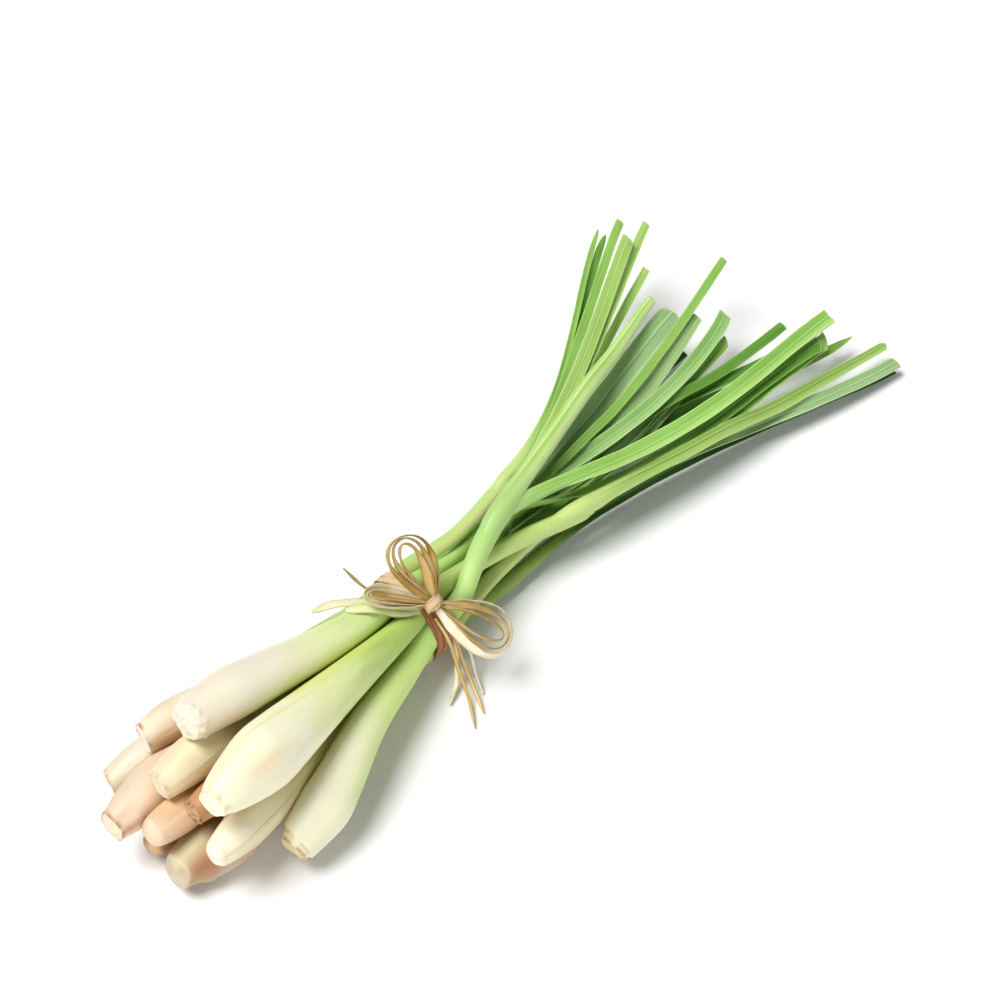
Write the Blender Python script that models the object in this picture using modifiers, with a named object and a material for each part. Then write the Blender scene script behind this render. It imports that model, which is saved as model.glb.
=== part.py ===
# A bunch of lemongrass tied with a raffia bow, lying on its side.
# The stalks run along X, with their cut bases at -X, the leaf tips at +X and the tie between them. Lengths
# are in millimetres here and in metres in the objects, which stand on the floor at Z = 0.

import math

import bmesh
import bpy
import numpy as np

MM = 0.001

# Driving dimensions of the bunch
GAP = 0.45              # air left between neighbouring pieces
FLOOR_GAP = 0.2         # air left under the lowest leaves
WAIST_SIDE = 1.5        # middle of the tied waist, sideways and above the floor
WAIST_HEIGHT = 19.7
WAIST_RADIUS = 18.4     # the tie holds the necks inside this radius
OUTER_RING = 14.0       # nine necks stand on this radius at the waist
INNER_RING = 5.2        # three necks fill the middle
NECK_RADIUS = 3.9
BELLY_PLACE = 2.5       # a bulb is fullest this many of its radii from the cut end
BULB_TAPER = 95.0       # a stalk thins from bulb to neck over this length
TAPER_POWER = 1.3
TOP_TAPER = 30.0        # past the tie it changes to its top radius over this length
BLADE_THICKNESS = 0.6
ROOT_GAP = 1.6          # a blade starts this far past its stalk's top
ROOT_WIDTH = 0.62       # parts of a blade's full width and length
WIDENING = 0.25
POINT_WIDTH = 0.12
POINT_LENGTH = 0.22
ROLL_LENGTH = 0.4
SLANT = 0.35            # how far a slanted and a notched end run along the blade, in widths
NOTCH = 0.5
LAYER_RISE = 1.3        # height between two blades of one stalk where they start
SHEATH_LENGTH = 15.0    # a blade leaves in the direction of this much of its stalk
RAFFIA_THICKNESS = 0.35
RAFFIA_WIDTH = 2.3
TURN_WIDTH = 3.2
TURN_SLACK = 0.95       # air between the necks and the raffia turns
TURN_PLACES = (-1.8, 1.8)
TIED_LENGTH = 14.0      # stretch of the bunch that the tie squeezes
KNOT_ANGLE = 56.0       # where the knot sits on the waist, up from the -Y side
KNOT_SIZE = (4.5, 3.8, 3.2)     # half of the knot along the bunch, up round the waist and outward
KNOT_CLEARANCE = 5.6    # the loops start this far from the knot's middle

# How the stalks settle against each other, and how finely the pieces are divided
SETTLING_ROUNDS = 500
EASING_ROUNDS = 380     # the first rounds also pull each stalk home and smooth it
HOME_PULL = 0.02
EASING = 0.2
STATION = 3.0           # spacing of the cross-sections along X
REACH = 3               # a blade's height is smoothed over this many stations each way
STALK_POINTS = 17
STALK_SIDES = 3
BLADE_ROWS = 16
TURN_SIDES = 32
LOOP_POINTS = 22
TAIL_POINTS = 14

STALK_LOOK = dict(colour=(0.74, 0.80, 0.48), roughness=0.45)
LEAF_LOOK = dict(colour=(0.30, 0.52, 0.16), roughness=0.5)
RAFFIA_LOOK = dict(colour=(0.62, 0.45, 0.25), roughness=0.7)

BUNCH = "lemongrass_bunch"
BUNCH_EMPTY = "bunch_placement"

# Each stalk: the middle of its cut end, the radius of the cut and of the bulb, its place in the waist as
# (ring, angle), bends on the way there, the points it passes beyond the tie, its top and the radius there.
STALKS = {
    "stalk_01": dict(cut=(-106, 13, 53), cut_radius=8.0, bulb_radius=9.8, neck_radius=4.6,
                     slot=("outer", 94), past=[(32, 6, 24)], top=(60, 7, 25), top_radius=3.2),
    "stalk_02": dict(cut=(-112, 35, 31), cut_radius=5.6, bulb_radius=7.4, slot=("outer", 134),
                     bends=[(-88, 25, 28)], past=[(30, 7, 28)], top=(70, 11, 32), top_radius=3.2),
    "stalk_03": dict(cut=(-127, 40, 12), cut_radius=5.2, bulb_radius=7.8, slot=("outer", 174),
                     past=[(32, 10, 16)], top=(60, 12, 16), top_radius=3.0),
    "stalk_04": dict(cut=(-126, 10, 39), cut_radius=5.8, bulb_radius=9.0, slot=("inner", 95),
                     past=[(32, -1, 19)], top=(60, 2, 23), top_radius=3.2),
    "stalk_05": dict(cut=(-124, -17, 52), cut_radius=6.0, bulb_radius=12.8, neck_radius=4.6,
                     slot=("outer", 55), past=[(25, -4, 27), (58, -10, 24)], top=(88, -21, 22), top_radius=3.6),
    "stalk_06": dict(cut=(-144, 18, 25), cut_radius=6.5, bulb_radius=9.0, slot=("inner", 215),
                     past=[(32, 3, 13)], top=(60, 4, 15), top_radius=3.0),
    "stalk_07": dict(cut=(-125, -5, 35), cut_radius=5.2, bulb_radius=6.2, slot=("inner", 335),
                     past=[(32, -4, 12)], top=(60, -3, 14), top_radius=3.0),
    "stalk_08": dict(cut=(-133, 9, 10), cut_radius=5.2, bulb_radius=7.8, slot=("outer", 214),
                     past=[(32, 8, 7)], top=(58, 8, 8), top_radius=3.0),
    "stalk_09": dict(cut=(-136, 4, 28), cut_radius=6.2, bulb_radius=7.4, slot=("outer", 254),
                     past=[(32, -1, 6)], top=(58, -2, 7), top_radius=3.0),
    "stalk_10": dict(cut=(-137, -7, 13), cut_radius=7.0, bulb_radius=10.0, slot=("outer", 294),
                     past=[(32, -10, 7)], top=(54, -12, 7), top_radius=3.4),
    "stalk_11": dict(cut=(-127, -20, 27), cut_radius=5.4, bulb_radius=8.2, slot=("outer", 335),
                     bends=[(-55, -13, 15)], past=[(36, -9, 17)], top=(60, -9, 17), top_radius=3.2),
    "stalk_12": dict(cut=(-104, -34, 12), cut_radius=6.2, bulb_radius=9.4, neck_radius=4.6,
                     slot=("outer", 16), bends=[(-52, -21, 23)], past=[(11, -11, 31), (32, -6, 35)],
                     top=(54, 0, 38), top_radius=4.2),
}

# Leaf blades, listed from the lowest to the highest, so that each one lies over those before it. A name
# begins with its stalk's number. Each has its tip, its width, the sideways bow of its middle or the points
# it goes by, its roll in degrees, its fold (how far the edges stand above the midrib) and its end's shape.
BLADES = {
    "leaf_08a": dict(tip=(205, -22, 3), width=9.0, bow=2, roll=0, fold=0.5, end="cut"),
    "leaf_10a": dict(tip=(247, -62, 3), width=7.0, bow=3, roll=8, fold=0.6, end="cut"),
    "leaf_09a": dict(tip=(187, 0, 8), width=7.0, bow=0, roll=5, fold=0.5, end="slant"),
    "leaf_03a": dict(tip=(192, 12, 8), width=7.0, bow=0, roll=0, fold=0.6, end="cut"),
    "leaf_03b": dict(tip=(228, -28, 14), width=4.5, bow=-1, roll=15, fold=0.6, end="slant"),
    "leaf_07a": dict(tip=(167, -8, 13), width=3.5, bow=-4, roll=10, fold=0.4, end="cut"),
    "leaf_07b": dict(tip=(246, -41, 10), width=4.5, bow=0, roll=18, fold=0.6, end="point"),
    "leaf_07c": dict(tip=(202, -4, 18), width=5.0, bow=-4, roll=15, fold=0.6, end="slant"),
    "leaf_11a": dict(tip=(249, -63, 6), width=6.0, bow=-4, roll=20, fold=0.8, end="cut"),
    "leaf_06a": dict(tip=(159, -5, 19), width=3.5, bow=-7.5, roll=10, fold=0.4, end="cut"),
    "leaf_06b": dict(tip=(225, -18, 19), width=4.5, bow=-3, roll=20, fold=0.5, end="cut"),
    "leaf_06c": dict(tip=(199, 11, 26), width=6.5, bow=-7.5, roll=10, fold=0.7, end="cut"),
    "leaf_01a": dict(tip=(230, -37, 18), width=7.0, via=[(95, -16, 23), (150, -29, 19)],
                     roll=20, fold=0.8, end="slant"),
    "leaf_01b": dict(tip=(214, 4, 22), width=6.5, bow=-13, roll=15, fold=0.8, end="notch"),
    "leaf_05a": dict(tip=(225, -37, 10), width=6.5, bow=2, roll=10, fold=0.5, end="slant"),
    "leaf_05b": dict(tip=(250, -55, 10), width=6.5, bow=0.5, roll=15, fold=-0.8, end="cut"),
    "leaf_04a": dict(tip=(191, 19, 27), width=11.0, bow=1, roll=5, fold=0.9, end="cut"),
    "leaf_04b": dict(tip=(232, 20.5, 30), width=3.8, bow=-5, roll=20, fold=0.5, end="cut"),
    "leaf_02a": dict(tip=(205, 42, 32), width=3.8, bow=-1.5, roll=10, fold=0.4, end="notch"),
    "leaf_02b": dict(tip=(146, 22, 35), width=4.5, bow=1, roll=25, fold=0.5, end="point"),
    "leaf_02c": dict(tip=(199, 62, 43), width=4.2, bow=-1, roll=20, fold=0.5, end="point"),
    "leaf_02d": dict(tip=(198, 65, 45), width=3.8, bow=-1, roll=20, fold=0.5, end="point"),
    "leaf_12a": dict(tip=(239, -33, 22), width=5.0, via=[(105, -13, 26), (150, -23, 24)],
                     roll=15, fold=0.7, end="cut"),
    "leaf_12b": dict(tip=(240, -33, 25), width=7.0, via=[(100, -14, 29), (145, -25, 27)],
                     roll=25, fold=1.0, end="notch"),
    "leaf_12c": dict(tip=(210, 62, 42), width=4.0, bow=0, roll=15, fold=0.4, end="cut"),
    "leaf_12d": dict(tip=(221, 56, 38), width=4.0, bow=-2.5, roll=15, fold=0.4, end="cut"),
    "leaf_12e": dict(tip=(204, 53, 43), width=6.0, bow=-2.5, roll=20, fold=0.5, end="cut"),
    "leaf_12f": dict(tip=(188, 28, 33), width=5.0, bow=-1, roll=20, fold=0.9, end="cut"),
}

# The bow's loops, as vectors along the bunch, up round the waist and outward from it: how far the loop
# reaches from the knot, how far it spreads to each side, and its strands as parts of that spread and reach.
LOOPS = {
    "raffia_loop_top": dict(reach=(3.0, 27.3, 11.6), spread=(9.0, -2.6, 0.0),
                            strands=((1.0, 1.0), (0.72, 0.97), (0.45, 0.9))),
    "raffia_loop_left": dict(reach=(-21.2, 21.0, 3.2), spread=(3.8, 2.1, 0.0),
                             strands=((1.0, 1.0), (0.55, 0.95), (0.15, 0.88))),
    "raffia_loop_right": dict(reach=(14.6, -31.0, 2.0), spread=(9.2, 4.8, 0.0),
                              strands=((1.0, 1.0), (0.7, 0.96), (0.4, 0.9))),
}

# The loose ends: a route measured from the middle of the waist, the direction across the ribbon, its width.
TAILS = {
    "raffia_tail_left_1": dict(across=(0.8, 0.6, 0.0), width=1.4, route=[
        (-2.8, -7.9, 19.7), (-7, -5.6, 22.2), (-12, -2.4, 25.6), (-16.5, 5, 29.6), (-18, 16, 35)]),
    "raffia_tail_left_2": dict(across=(0.7, 0.7, 0.0), width=2.3, route=[
        (-4.8, -9.5, 19), (-13, -4.5, 23.6), (-23, 6.5, 26.7), (-29, 13, 25.9), (-34, 18.5, 22)]),
    "raffia_tail_left_3": dict(across=(0.7, 0.7, 0.0), width=2.3, route=[
        (-5.4, -10.7, 17.9), (-13, -7.2, 21.5), (-22, 0.2, 27.2), (-28, 6.2, 27.3)]),
    "raffia_tail_right_1": dict(across=(1.0, 0.0, 0.0), width=1.9, route=[
        (-2.3, -15.9, 14.7), (-1.5, -21.5, 5.5), (-3, -28, -7.3), (-7, -37, -16.3), (-14, -45.5, -18.4)]),
    "raffia_tail_right_2": dict(across=(1.0, 0.0, 0.0), width=1.9, route=[
        (0.1, -16.4, 14.4), (1.2, -22, 5.5), (0, -28.5, -7.3), (-3.5, -38, -16.3), (-6.5, -43.5, -18.4)]),
    "raffia_tail_right_3": dict(across=(1.0, 0.0, 0.0), width=1.2, route=[
        (4.2, -14.7, 15.5), (5.5, -21, 5.5), (5.5, -27, -7.3), (2.5, -33, -16), (0.5, -37.5, -18.4)]),
    "raffia_tail_right_4": dict(across=(1.0, 0.0, 0.0), width=1.9, route=[
        (2.4, -15.9, 14.7), (3, -20.5, 5.5), (0.5, -24, -7.3), (-5, -28, -16), (-12, -31, -18.4)]),
}


def stalk_of(blade_name):
    return "stalk_" + blade_name[5:7]


def waist_point(slot):
    """A neck's place in the waist, on its ring at its angle."""
    ring, angle = slot
    radius = OUTER_RING if ring == "outer" else INNER_RING
    turn = math.radians(angle)
    return (0.0, WAIST_SIDE - radius * math.cos(turn), WAIST_HEIGHT + radius * math.sin(turn))


def curve_through(knots, xs):
    """The smooth curve through (x, y, z) knots, read at the given x values, as rows of (y, z)."""
    knots = np.array(knots, float)
    slopes = np.gradient(knots[:, 1:], knots[:, 0], axis=0)
    span = np.clip(np.searchsorted(knots[:, 0], xs) - 1, 0, len(knots) - 2)
    length = (knots[span + 1, 0] - knots[span, 0])[:, None]
    t = np.clip((xs - knots[span, 0])[:, None] / length, 0.0, 1.0)
    start = knots[span, 1:] * (2 * t ** 3 - 3 * t ** 2 + 1) + slopes[span] * length * (t ** 3 - 2 * t ** 2 + t)
    finish = knots[span + 1, 1:] * (3 * t ** 2 - 2 * t ** 3) + slopes[span + 1] * length * (t ** 3 - t ** 2)
    return start + finish


def stalk_radii(stalk, along, xs):
    """Radius along a stalk: cut base, swollen bulb, long taper to the neck, thinner again at its top."""
    belly = BELLY_PLACE * stalk["bulb_radius"]
    rise = np.sin(np.clip(along / belly, 0.0, 1.0) * math.pi / 2)
    bulb = stalk["cut_radius"] + (stalk["bulb_radius"] - stalk["cut_radius"]) * rise
    fall = (1.0 - np.clip((along - belly) / BULB_TAPER, 0.0, 1.0)) ** TAPER_POWER
    neck_radius = stalk.get("neck_radius", NECK_RADIUS)
    neck = neck_radius + (stalk["bulb_radius"] - neck_radius) * fall
    above_tie = np.clip(xs / TOP_TAPER, 0.0, 1.0)
    neck = neck + (stalk["top_radius"] - neck_radius) * above_tie
    return np.where(along < belly, bulb, neck)


def settle_stalks():
    """Every stalk's path and radius at the stations, moved apart until no two touch and all clear the floor."""
    first = min(stalk["cut"][0] for stalk in STALKS.values())
    last = max(stalk["top"][0] for stalk in STALKS.values())
    xs = np.arange(first - STATION, last + 2 * STATION, STATION)
    wanted, radii, present = [], [], []
    for stalk in STALKS.values():
        knots = [stalk["cut"], *stalk.get("bends", []), waist_point(stalk["slot"]), *stalk["past"], stalk["top"]]
        path = curve_through(knots, xs)
        steps = np.hypot(STATION, np.linalg.norm(np.diff(path, axis=0), axis=1))
        along = np.concatenate([[0.0], np.cumsum(steps)])
        along -= np.interp(stalk["cut"][0], xs, along)
        leaning = np.append(steps, steps[-1]) / STATION
        wanted.append(path)
        radii.append(stalk_radii(stalk, np.clip(along, 0.0, None), xs) * leaning)
        present.append((xs > stalk["cut"][0] - STATION) & (xs < stalk["top"][0] + STATION))
    wanted, radii, present = np.array(wanted), np.array(radii), np.array(present)
    paths = wanted.copy()
    tied = np.abs(xs) <= TIED_LENGTH / 2
    waist_middle = np.array([WAIST_SIDE, WAIST_HEIGHT])
    for turn in range(SETTLING_ROUNDS):
        from_middle = paths[:, tied] - waist_middle
        distance = np.maximum(np.linalg.norm(from_middle, axis=2), 0.01)
        inside = np.minimum(1.0, (WAIST_RADIUS - radii[:, tied]) / distance)
        paths[:, tied] = waist_middle + from_middle * inside[:, :, None]
        push = np.zeros_like(paths)
        for a in range(len(paths)):
            for b in range(a + 1, len(paths)):
                apart = paths[a] - paths[b]
                distance = np.maximum(np.linalg.norm(apart, axis=1), 0.01)
                short = np.clip(radii[a] + radii[b] + GAP - distance, 0.0, None) * present[a] * present[b]
                step = 0.5 * (short / distance)[:, None] * apart
                push[a] += step
                push[b] -= step
        paths += push
        if turn < EASING_ROUNDS:
            paths += HOME_PULL * (wanted - paths)
            paths[:, 1:-1] += EASING * (paths[:, :-2] + paths[:, 2:] - 2 * paths[:, 1:-1])
        paths[:, :, 1] = np.maximum(paths[:, :, 1], radii)
    return xs, dict(zip(STALKS, paths)), dict(zip(STALKS, radii))


def waist_radius(xs, paths, radii):
    """The radius of the raffia turns, drawn tight round the necks where they cross the waist."""
    reach = 0.0
    waist = np.abs(xs) <= abs(TURN_PLACES[0]) + TURN_WIDTH / 2 + STATION
    for name, path in paths.items():
        from_middle = np.hypot(path[waist, 0] - WAIST_SIDE, path[waist, 1] - WAIST_HEIGHT)
        reach = max(reach, np.max(from_middle + radii[name][waist]))
    return reach + TURN_SLACK


def blade_path(name, xs, stalk_paths, stalk_xs):
    """A blade's wanted middle line: it leaves the stalk's top in the stalk's direction and ends at its tip."""
    blade = BLADES[name]
    family = [other for other in BLADES if stalk_of(other) == stalk_of(name)]
    layer = family.index(name) - (len(family) - 1) / 2
    stalk = STALKS[stalk_of(name)]
    path = stalk_paths[stalk_of(name)]
    root_x = stalk["top"][0] + ROOT_GAP
    root = np.array([np.interp(root_x, stalk_xs, path[:, axis]) for axis in (0, 1)])
    before = np.array([np.interp(root_x - SHEATH_LENGTH, stalk_xs, path[:, axis]) for axis in (0, 1)])
    root_slope = (root - before) / SHEATH_LENGTH
    root = root + np.array([0.0, layer * LAYER_RISE])
    if "via" in blade:
        return curve_through([(root_x, *root), *blade["via"], blade["tip"]], xs), root_x
    tip = np.array(blade["tip"][1:], float)
    length = blade["tip"][0] - root_x
    chord = (tip - root) / length
    t = np.clip((xs - root_x) / length, 0.0, 1.0)[:, None]
    line = root * (1 + 2 * t) * (1 - t) ** 2 + tip * t ** 2 * (3 - 2 * t)
    line = line + length * (root_slope * t * (1 - t) ** 2 - chord * t ** 2 * (1 - t))
    line[:, 0] += blade["bow"] * 4 * t[:, 0] * (1 - t[:, 0])
    return line, root_x


class Section:
    """The cross-sections of one piece at every station: its middle, half width, lean and fold."""

    def __init__(self, middle, half, lean, fold, radius, present):
        self.middle = middle
        self.half = half
        self.lean = lean
        self.fold = fold
        self.radius = radius
        self.present = present

    def surface(self, y, side):
        """Height of the upper (side 1) or lower (side -1) surface at y."""
        across = np.clip((y - self.middle[:, :1]) / self.half[:, None], -1.0, 1.0)
        height = self.middle[:, 1:] + self.lean[:, None] * across + self.fold * np.abs(across)
        if self.radius is not None:
            return height + side * self.radius[:, None] * np.sqrt(np.clip(1 - across ** 2, 0.0, 1.0))
        steep = (np.abs(self.lean) + abs(self.fold)) / self.half
        return height + side * 0.5 * BLADE_THICKNESS * np.hypot(1.0, steep)[:, None]


def lift_over(blade, lower):
    """How far a blade has to rise at each station to lie on a piece that is under it."""
    left = np.maximum(blade.middle[:, 0] - blade.half, lower.middle[:, 0] - lower.half - GAP)
    right = np.minimum(blade.middle[:, 0] + blade.half, lower.middle[:, 0] + lower.half + GAP)
    beside = (left > right) | ~(blade.present & lower.present)
    y = np.linspace(left, right, 9, axis=1)
    rise = np.max(lower.surface(y, 1) - blade.surface(y, -1), axis=1) + GAP
    return np.where(beside, 0.0, np.clip(rise, 0.0, None))


def width_profile(blade, t):
    """A blade's width from its sheath (t = 0) to its tip (t = 1)."""
    width = blade["width"] * (ROOT_WIDTH + (1.0 - ROOT_WIDTH) * np.clip(t / WIDENING, 0.0, 1.0))
    if blade["end"] == "point":
        width = width * np.clip((1.0 - t) / POINT_LENGTH, POINT_WIDTH, 1.0)
    return width


def over_neighbours(values, combine):
    """Each value replaced by the combined values of the stations within reach of it."""
    padded = np.pad(values, REACH, mode="edge")
    return combine(np.lib.stride_tricks.sliding_window_view(padded, 2 * REACH + 1), axis=1)


def settle_blades(stalk_xs, stalk_paths, stalk_radii_at):
    """Every blade's cross-sections, laid from the lowest up so that each rests on those beneath it."""
    last = max(blade["tip"][0] for blade in BLADES.values())
    xs = np.arange(stalk_xs[0], last + 3 * STATION, STATION)
    placed = {}
    for name in STALKS:
        path = np.stack([np.interp(xs, stalk_xs, stalk_paths[name][:, axis]) for axis in (0, 1)], axis=1)
        radius = np.interp(xs, stalk_xs, stalk_radii_at[name])
        present = (xs > STALKS[name]["cut"][0] - STATION) & (xs < STALKS[name]["top"][0] + STATION)
        flat = np.zeros_like(xs)
        placed[name] = Section(path, radius, flat, 0.0, radius, present)
    settled = {}
    for name, blade in BLADES.items():
        middle, root_x = blade_path(name, xs, stalk_paths, stalk_xs)
        t = np.clip((xs - root_x) / (blade["tip"][0] - root_x), 0.0, 1.0)
        swing = np.hypot(1.0, np.gradient(middle[:, 0], xs))
        half = 0.5 * width_profile(blade, t) * swing
        roll = math.radians(blade["roll"]) * np.clip(t / ROLL_LENGTH, 0.0, 1.0)
        present = (xs > root_x - STATION) & (xs < blade["tip"][0] + 2 * STATION)
        section = Section(middle, half * np.cos(roll), half * np.sin(roll), blade["fold"], None, present)
        own_stalk = stalk_of(name)
        for other, lower in placed.items():
            if other == own_stalk:
                continue
            under = (other in settled) | (lower.middle[:, 1] < section.middle[:, 1])
            section.middle[:, 1] += np.where(under, lift_over(section, lower), 0.0)
        section.middle[:, 1] = over_neighbours(over_neighbours(section.middle[:, 1], np.max), np.mean)
        lowest = section.middle[:, 1] - np.abs(section.lean) - abs(section.fold) - BLADE_THICKNESS
        section.middle[:, 1] += np.clip(FLOOR_GAP - lowest, 0.0, None)
        placed[name] = section
        settled[name] = section
    return xs, settled


def new_object(name, data, look):
    """An object in the bunch's collection with a material of its own."""
    material = bpy.data.materials.new(name)
    material.use_nodes = True
    shader = material.node_tree.nodes["Principled BSDF"]
    shader.inputs["Base Color"].default_value = (*look["colour"], 1.0)
    shader.inputs["Roughness"].default_value = look["roughness"]
    shader.inputs["Metallic"].default_value = 0.0
    data.materials.append(material)
    piece = bpy.data.objects.new(name, data)
    bpy.data.collections[BUNCH].objects.link(piece)
    piece.parent = bpy.data.objects[BUNCH_EMPTY]
    return piece


def make_stalk(name, xs, path, radii):
    """A stalk: one round tube of changing radius, closed by its cut base and its top."""
    stalk = STALKS[name]
    curve = bpy.data.curves.new(name, "CURVE")
    curve.dimensions = "3D"
    curve.bevel_depth = MM
    curve.bevel_resolution = STALK_SIDES
    curve.use_fill_caps = True
    places = np.linspace(stalk["cut"][0], stalk["top"][0], STALK_POINTS)
    spline = curve.splines.new("POLY")
    spline.points.add(STALK_POINTS - 1)
    slope = np.hypot(1.0, np.linalg.norm(np.gradient(path, xs, axis=0), axis=1))
    for point, x in zip(spline.points, places):
        y = np.interp(x, xs, path[:, 0])
        z = np.interp(x, xs, path[:, 1])
        point.co = (x * MM, y * MM, z * MM, 1.0)
        point.radius = np.interp(x, xs, radii / slope)
    return new_object(name, curve, STALK_LOOK)


def make_strip(name, rows, thickness, look):
    """A thin strip: a grid whose rows of points follow the strip's length, given thickness by Solidify."""
    columns = len(rows[0])
    mesh = bpy.data.meshes.new(name)
    strip = bmesh.new()
    bmesh.ops.create_grid(strip, x_segments=len(rows) - 1, y_segments=columns - 1, size=0.5)
    for vertex in strip.verts:
        row = round((vertex.co.x + 0.5) * (len(rows) - 1))
        column = round((vertex.co.y + 0.5) * (columns - 1))
        vertex.co = [value * MM for value in rows[row][column]]
    strip.to_mesh(mesh)
    strip.free()
    piece = new_object(name, mesh, look)
    solid = piece.modifiers.new("thickness", "SOLIDIFY")
    solid.thickness = thickness * MM
    solid.offset = 0.0
    return piece


def make_blade(name, xs, section):
    """A leaf blade, folded along its midrib and cut at its tip."""
    blade = BLADES[name]
    present = np.flatnonzero(section.present)
    root_x = STALKS[stalk_of(name)]["top"][0] + ROOT_GAP
    rows = []
    for step in range(BLADE_ROWS + 1):
        t = step / BLADE_ROWS
        x = root_x + t * (blade["tip"][0] - root_x)
        y, z = (np.interp(x, xs, section.middle[:, axis]) for axis in (0, 1))
        half = np.interp(x, xs, section.half)
        lean = np.interp(x, xs, section.lean)
        row = []
        for across in (-1.0, 0.0, 1.0):
            trim = 0.0
            if step == BLADE_ROWS and blade["end"] == "slant":
                trim = SLANT * blade["width"] * across
            if step == BLADE_ROWS and blade["end"] == "notch":
                trim = -NOTCH * blade["width"] * (1.0 - abs(across))
            row.append((x + trim, y + half * across, z + lean * across + section.fold * abs(across)))
        rows.append(row)
    return make_strip(name, rows, BLADE_THICKNESS, LEAF_LOOK)


def make_turn(name, x, radius):
    """One turn of raffia round the waist: a flat band profile turned about the bunch's axis."""
    mesh = bpy.data.meshes.new(name)
    half = 0.5 * TURN_WIDTH * MM
    inside, outside = radius * MM, (radius + RAFFIA_THICKNESS) * MM
    corners = [(half, outside), (-half, outside), (-half, inside), (half, inside)]
    profile = bmesh.new()
    points = [profile.verts.new((along, 0.0, out)) for along, out in corners]
    for start, finish in zip(points, points[1:] + points[:1]):
        profile.edges.new((start, finish))
    profile.to_mesh(mesh)
    profile.free()
    turn = new_object(name, mesh, RAFFIA_LOOK)
    screw = turn.modifiers.new("turned", "SCREW")
    screw.axis = "X"
    screw.steps = TURN_SIDES
    screw.render_steps = TURN_SIDES
    screw.use_merge_vertices = True
    screw.merge_threshold = 0.05 * MM
    turn.location = (x * MM, WAIST_SIDE * MM, WAIST_HEIGHT * MM)
    return turn


def knot_frame(radius):
    """The knot's middle and its three directions: along the bunch, up round the waist, and outward."""
    turn = math.radians(KNOT_ANGLE)
    outward = np.array([0.0, -math.cos(turn), math.sin(turn)])
    upward = np.array([0.0, math.sin(turn), math.cos(turn)])
    along = np.array([1.0, 0.0, 0.0])
    distance = radius + RAFFIA_THICKNESS + GAP + KNOT_SIZE[2]
    middle = np.array([0.0, WAIST_SIDE, WAIST_HEIGHT]) + distance * outward
    return middle, along, upward, outward


def make_knot(radius):
    """The knot: a soft lump drawn tight against the raffia turns."""
    middle, along, upward, outward = knot_frame(radius)
    mesh = bpy.data.meshes.new("raffia_knot")
    lump = bmesh.new()
    bmesh.ops.create_uvsphere(lump, u_segments=14, v_segments=8, radius=1.0)
    for vertex in lump.verts:
        x, y, z = vertex.co
        place = middle + along * x * KNOT_SIZE[0] + upward * y * KNOT_SIZE[1] + outward * z * KNOT_SIZE[2]
        vertex.co = [value * MM for value in place]
    lump.normal_update()
    lump.to_mesh(mesh)
    lump.free()
    mesh.shade_smooth()
    return new_object("raffia_knot", mesh, RAFFIA_LOOK)


def ribbon_rows(path, across_hint, width):
    """Rows of two points for a flat ribbon along a path, laid across it in the hinted direction."""
    heading = np.gradient(path, axis=0)
    heading /= np.linalg.norm(heading, axis=1)[:, None]
    hint = np.array(across_hint, float)
    across = hint - (heading @ hint)[:, None] * heading
    across /= np.linalg.norm(across, axis=1)[:, None]
    return [(centre - side * width / 2, centre + side * width / 2) for centre, side in zip(path, across)]


def make_loop_strand(name, loop, strand, radius):
    """One strand of a bow loop: it leaves the knot, rounds the loop's end and comes back."""
    middle, along, upward, outward = knot_frame(radius)
    frame = np.array([along, upward, outward])
    width, length = strand
    reach = length * np.array(loop["reach"]) @ frame
    spread = width * np.array(loop["spread"]) @ frame
    speed = math.pi * math.hypot(np.linalg.norm(reach), 2 * np.linalg.norm(spread))
    margin = KNOT_CLEARANCE / speed
    turn = np.linspace(margin, 1.0 - margin, LOOP_POINTS)[:, None]
    path = middle + np.sin(math.pi * turn) * reach + np.sin(2 * math.pi * turn) * spread
    rows = ribbon_rows(path, np.cross(reach, spread), RAFFIA_WIDTH)
    return make_strip(name, rows, RAFFIA_THICKNESS, RAFFIA_LOOK)


def smooth_route(points, count):
    """Evenly spaced points on the smooth curve through a hand-chosen route."""
    points = np.array(points, float)
    lengths = np.concatenate([[0.0], np.cumsum(np.linalg.norm(np.diff(points, axis=0), axis=1))])
    knots = np.column_stack([lengths, points])
    return curve_through(knots, np.linspace(0.0, lengths[-1], count))


def make_tail(name):
    """A loose end of raffia that hangs from the knot or lies over the stalks."""
    tail = TAILS[name]
    path = smooth_route(tail["route"], TAIL_POINTS) + np.array([0.0, WAIST_SIDE, WAIST_HEIGHT])
    rows = ribbon_rows(path, tail["across"], tail["width"])
    return make_strip(name, rows, RAFFIA_THICKNESS, RAFFIA_LOOK)


def stand_on_floor():
    """Move the whole bunch so that the middle of its box's underside is the origin."""
    bpy.context.view_layer.update()
    depsgraph = bpy.context.evaluated_depsgraph_get()
    points = []
    for piece in bpy.data.collections[BUNCH].objects:
        if piece.type == "EMPTY":
            continue
        shape = piece.evaluated_get(depsgraph)
        mesh = shape.to_mesh()
        places = np.empty(len(mesh.vertices) * 3, np.float32)
        mesh.vertices.foreach_get("co", places)
        points.append(places.reshape(-1, 3) + np.array(piece.matrix_world.translation))
        shape.to_mesh_clear()
    points = np.concatenate(points)
    low, high = points.min(axis=0), points.max(axis=0)
    bpy.data.objects[BUNCH_EMPTY].location = (-(low[0] + high[0]) / 2, -(low[1] + high[1]) / 2, -low[2])


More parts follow.
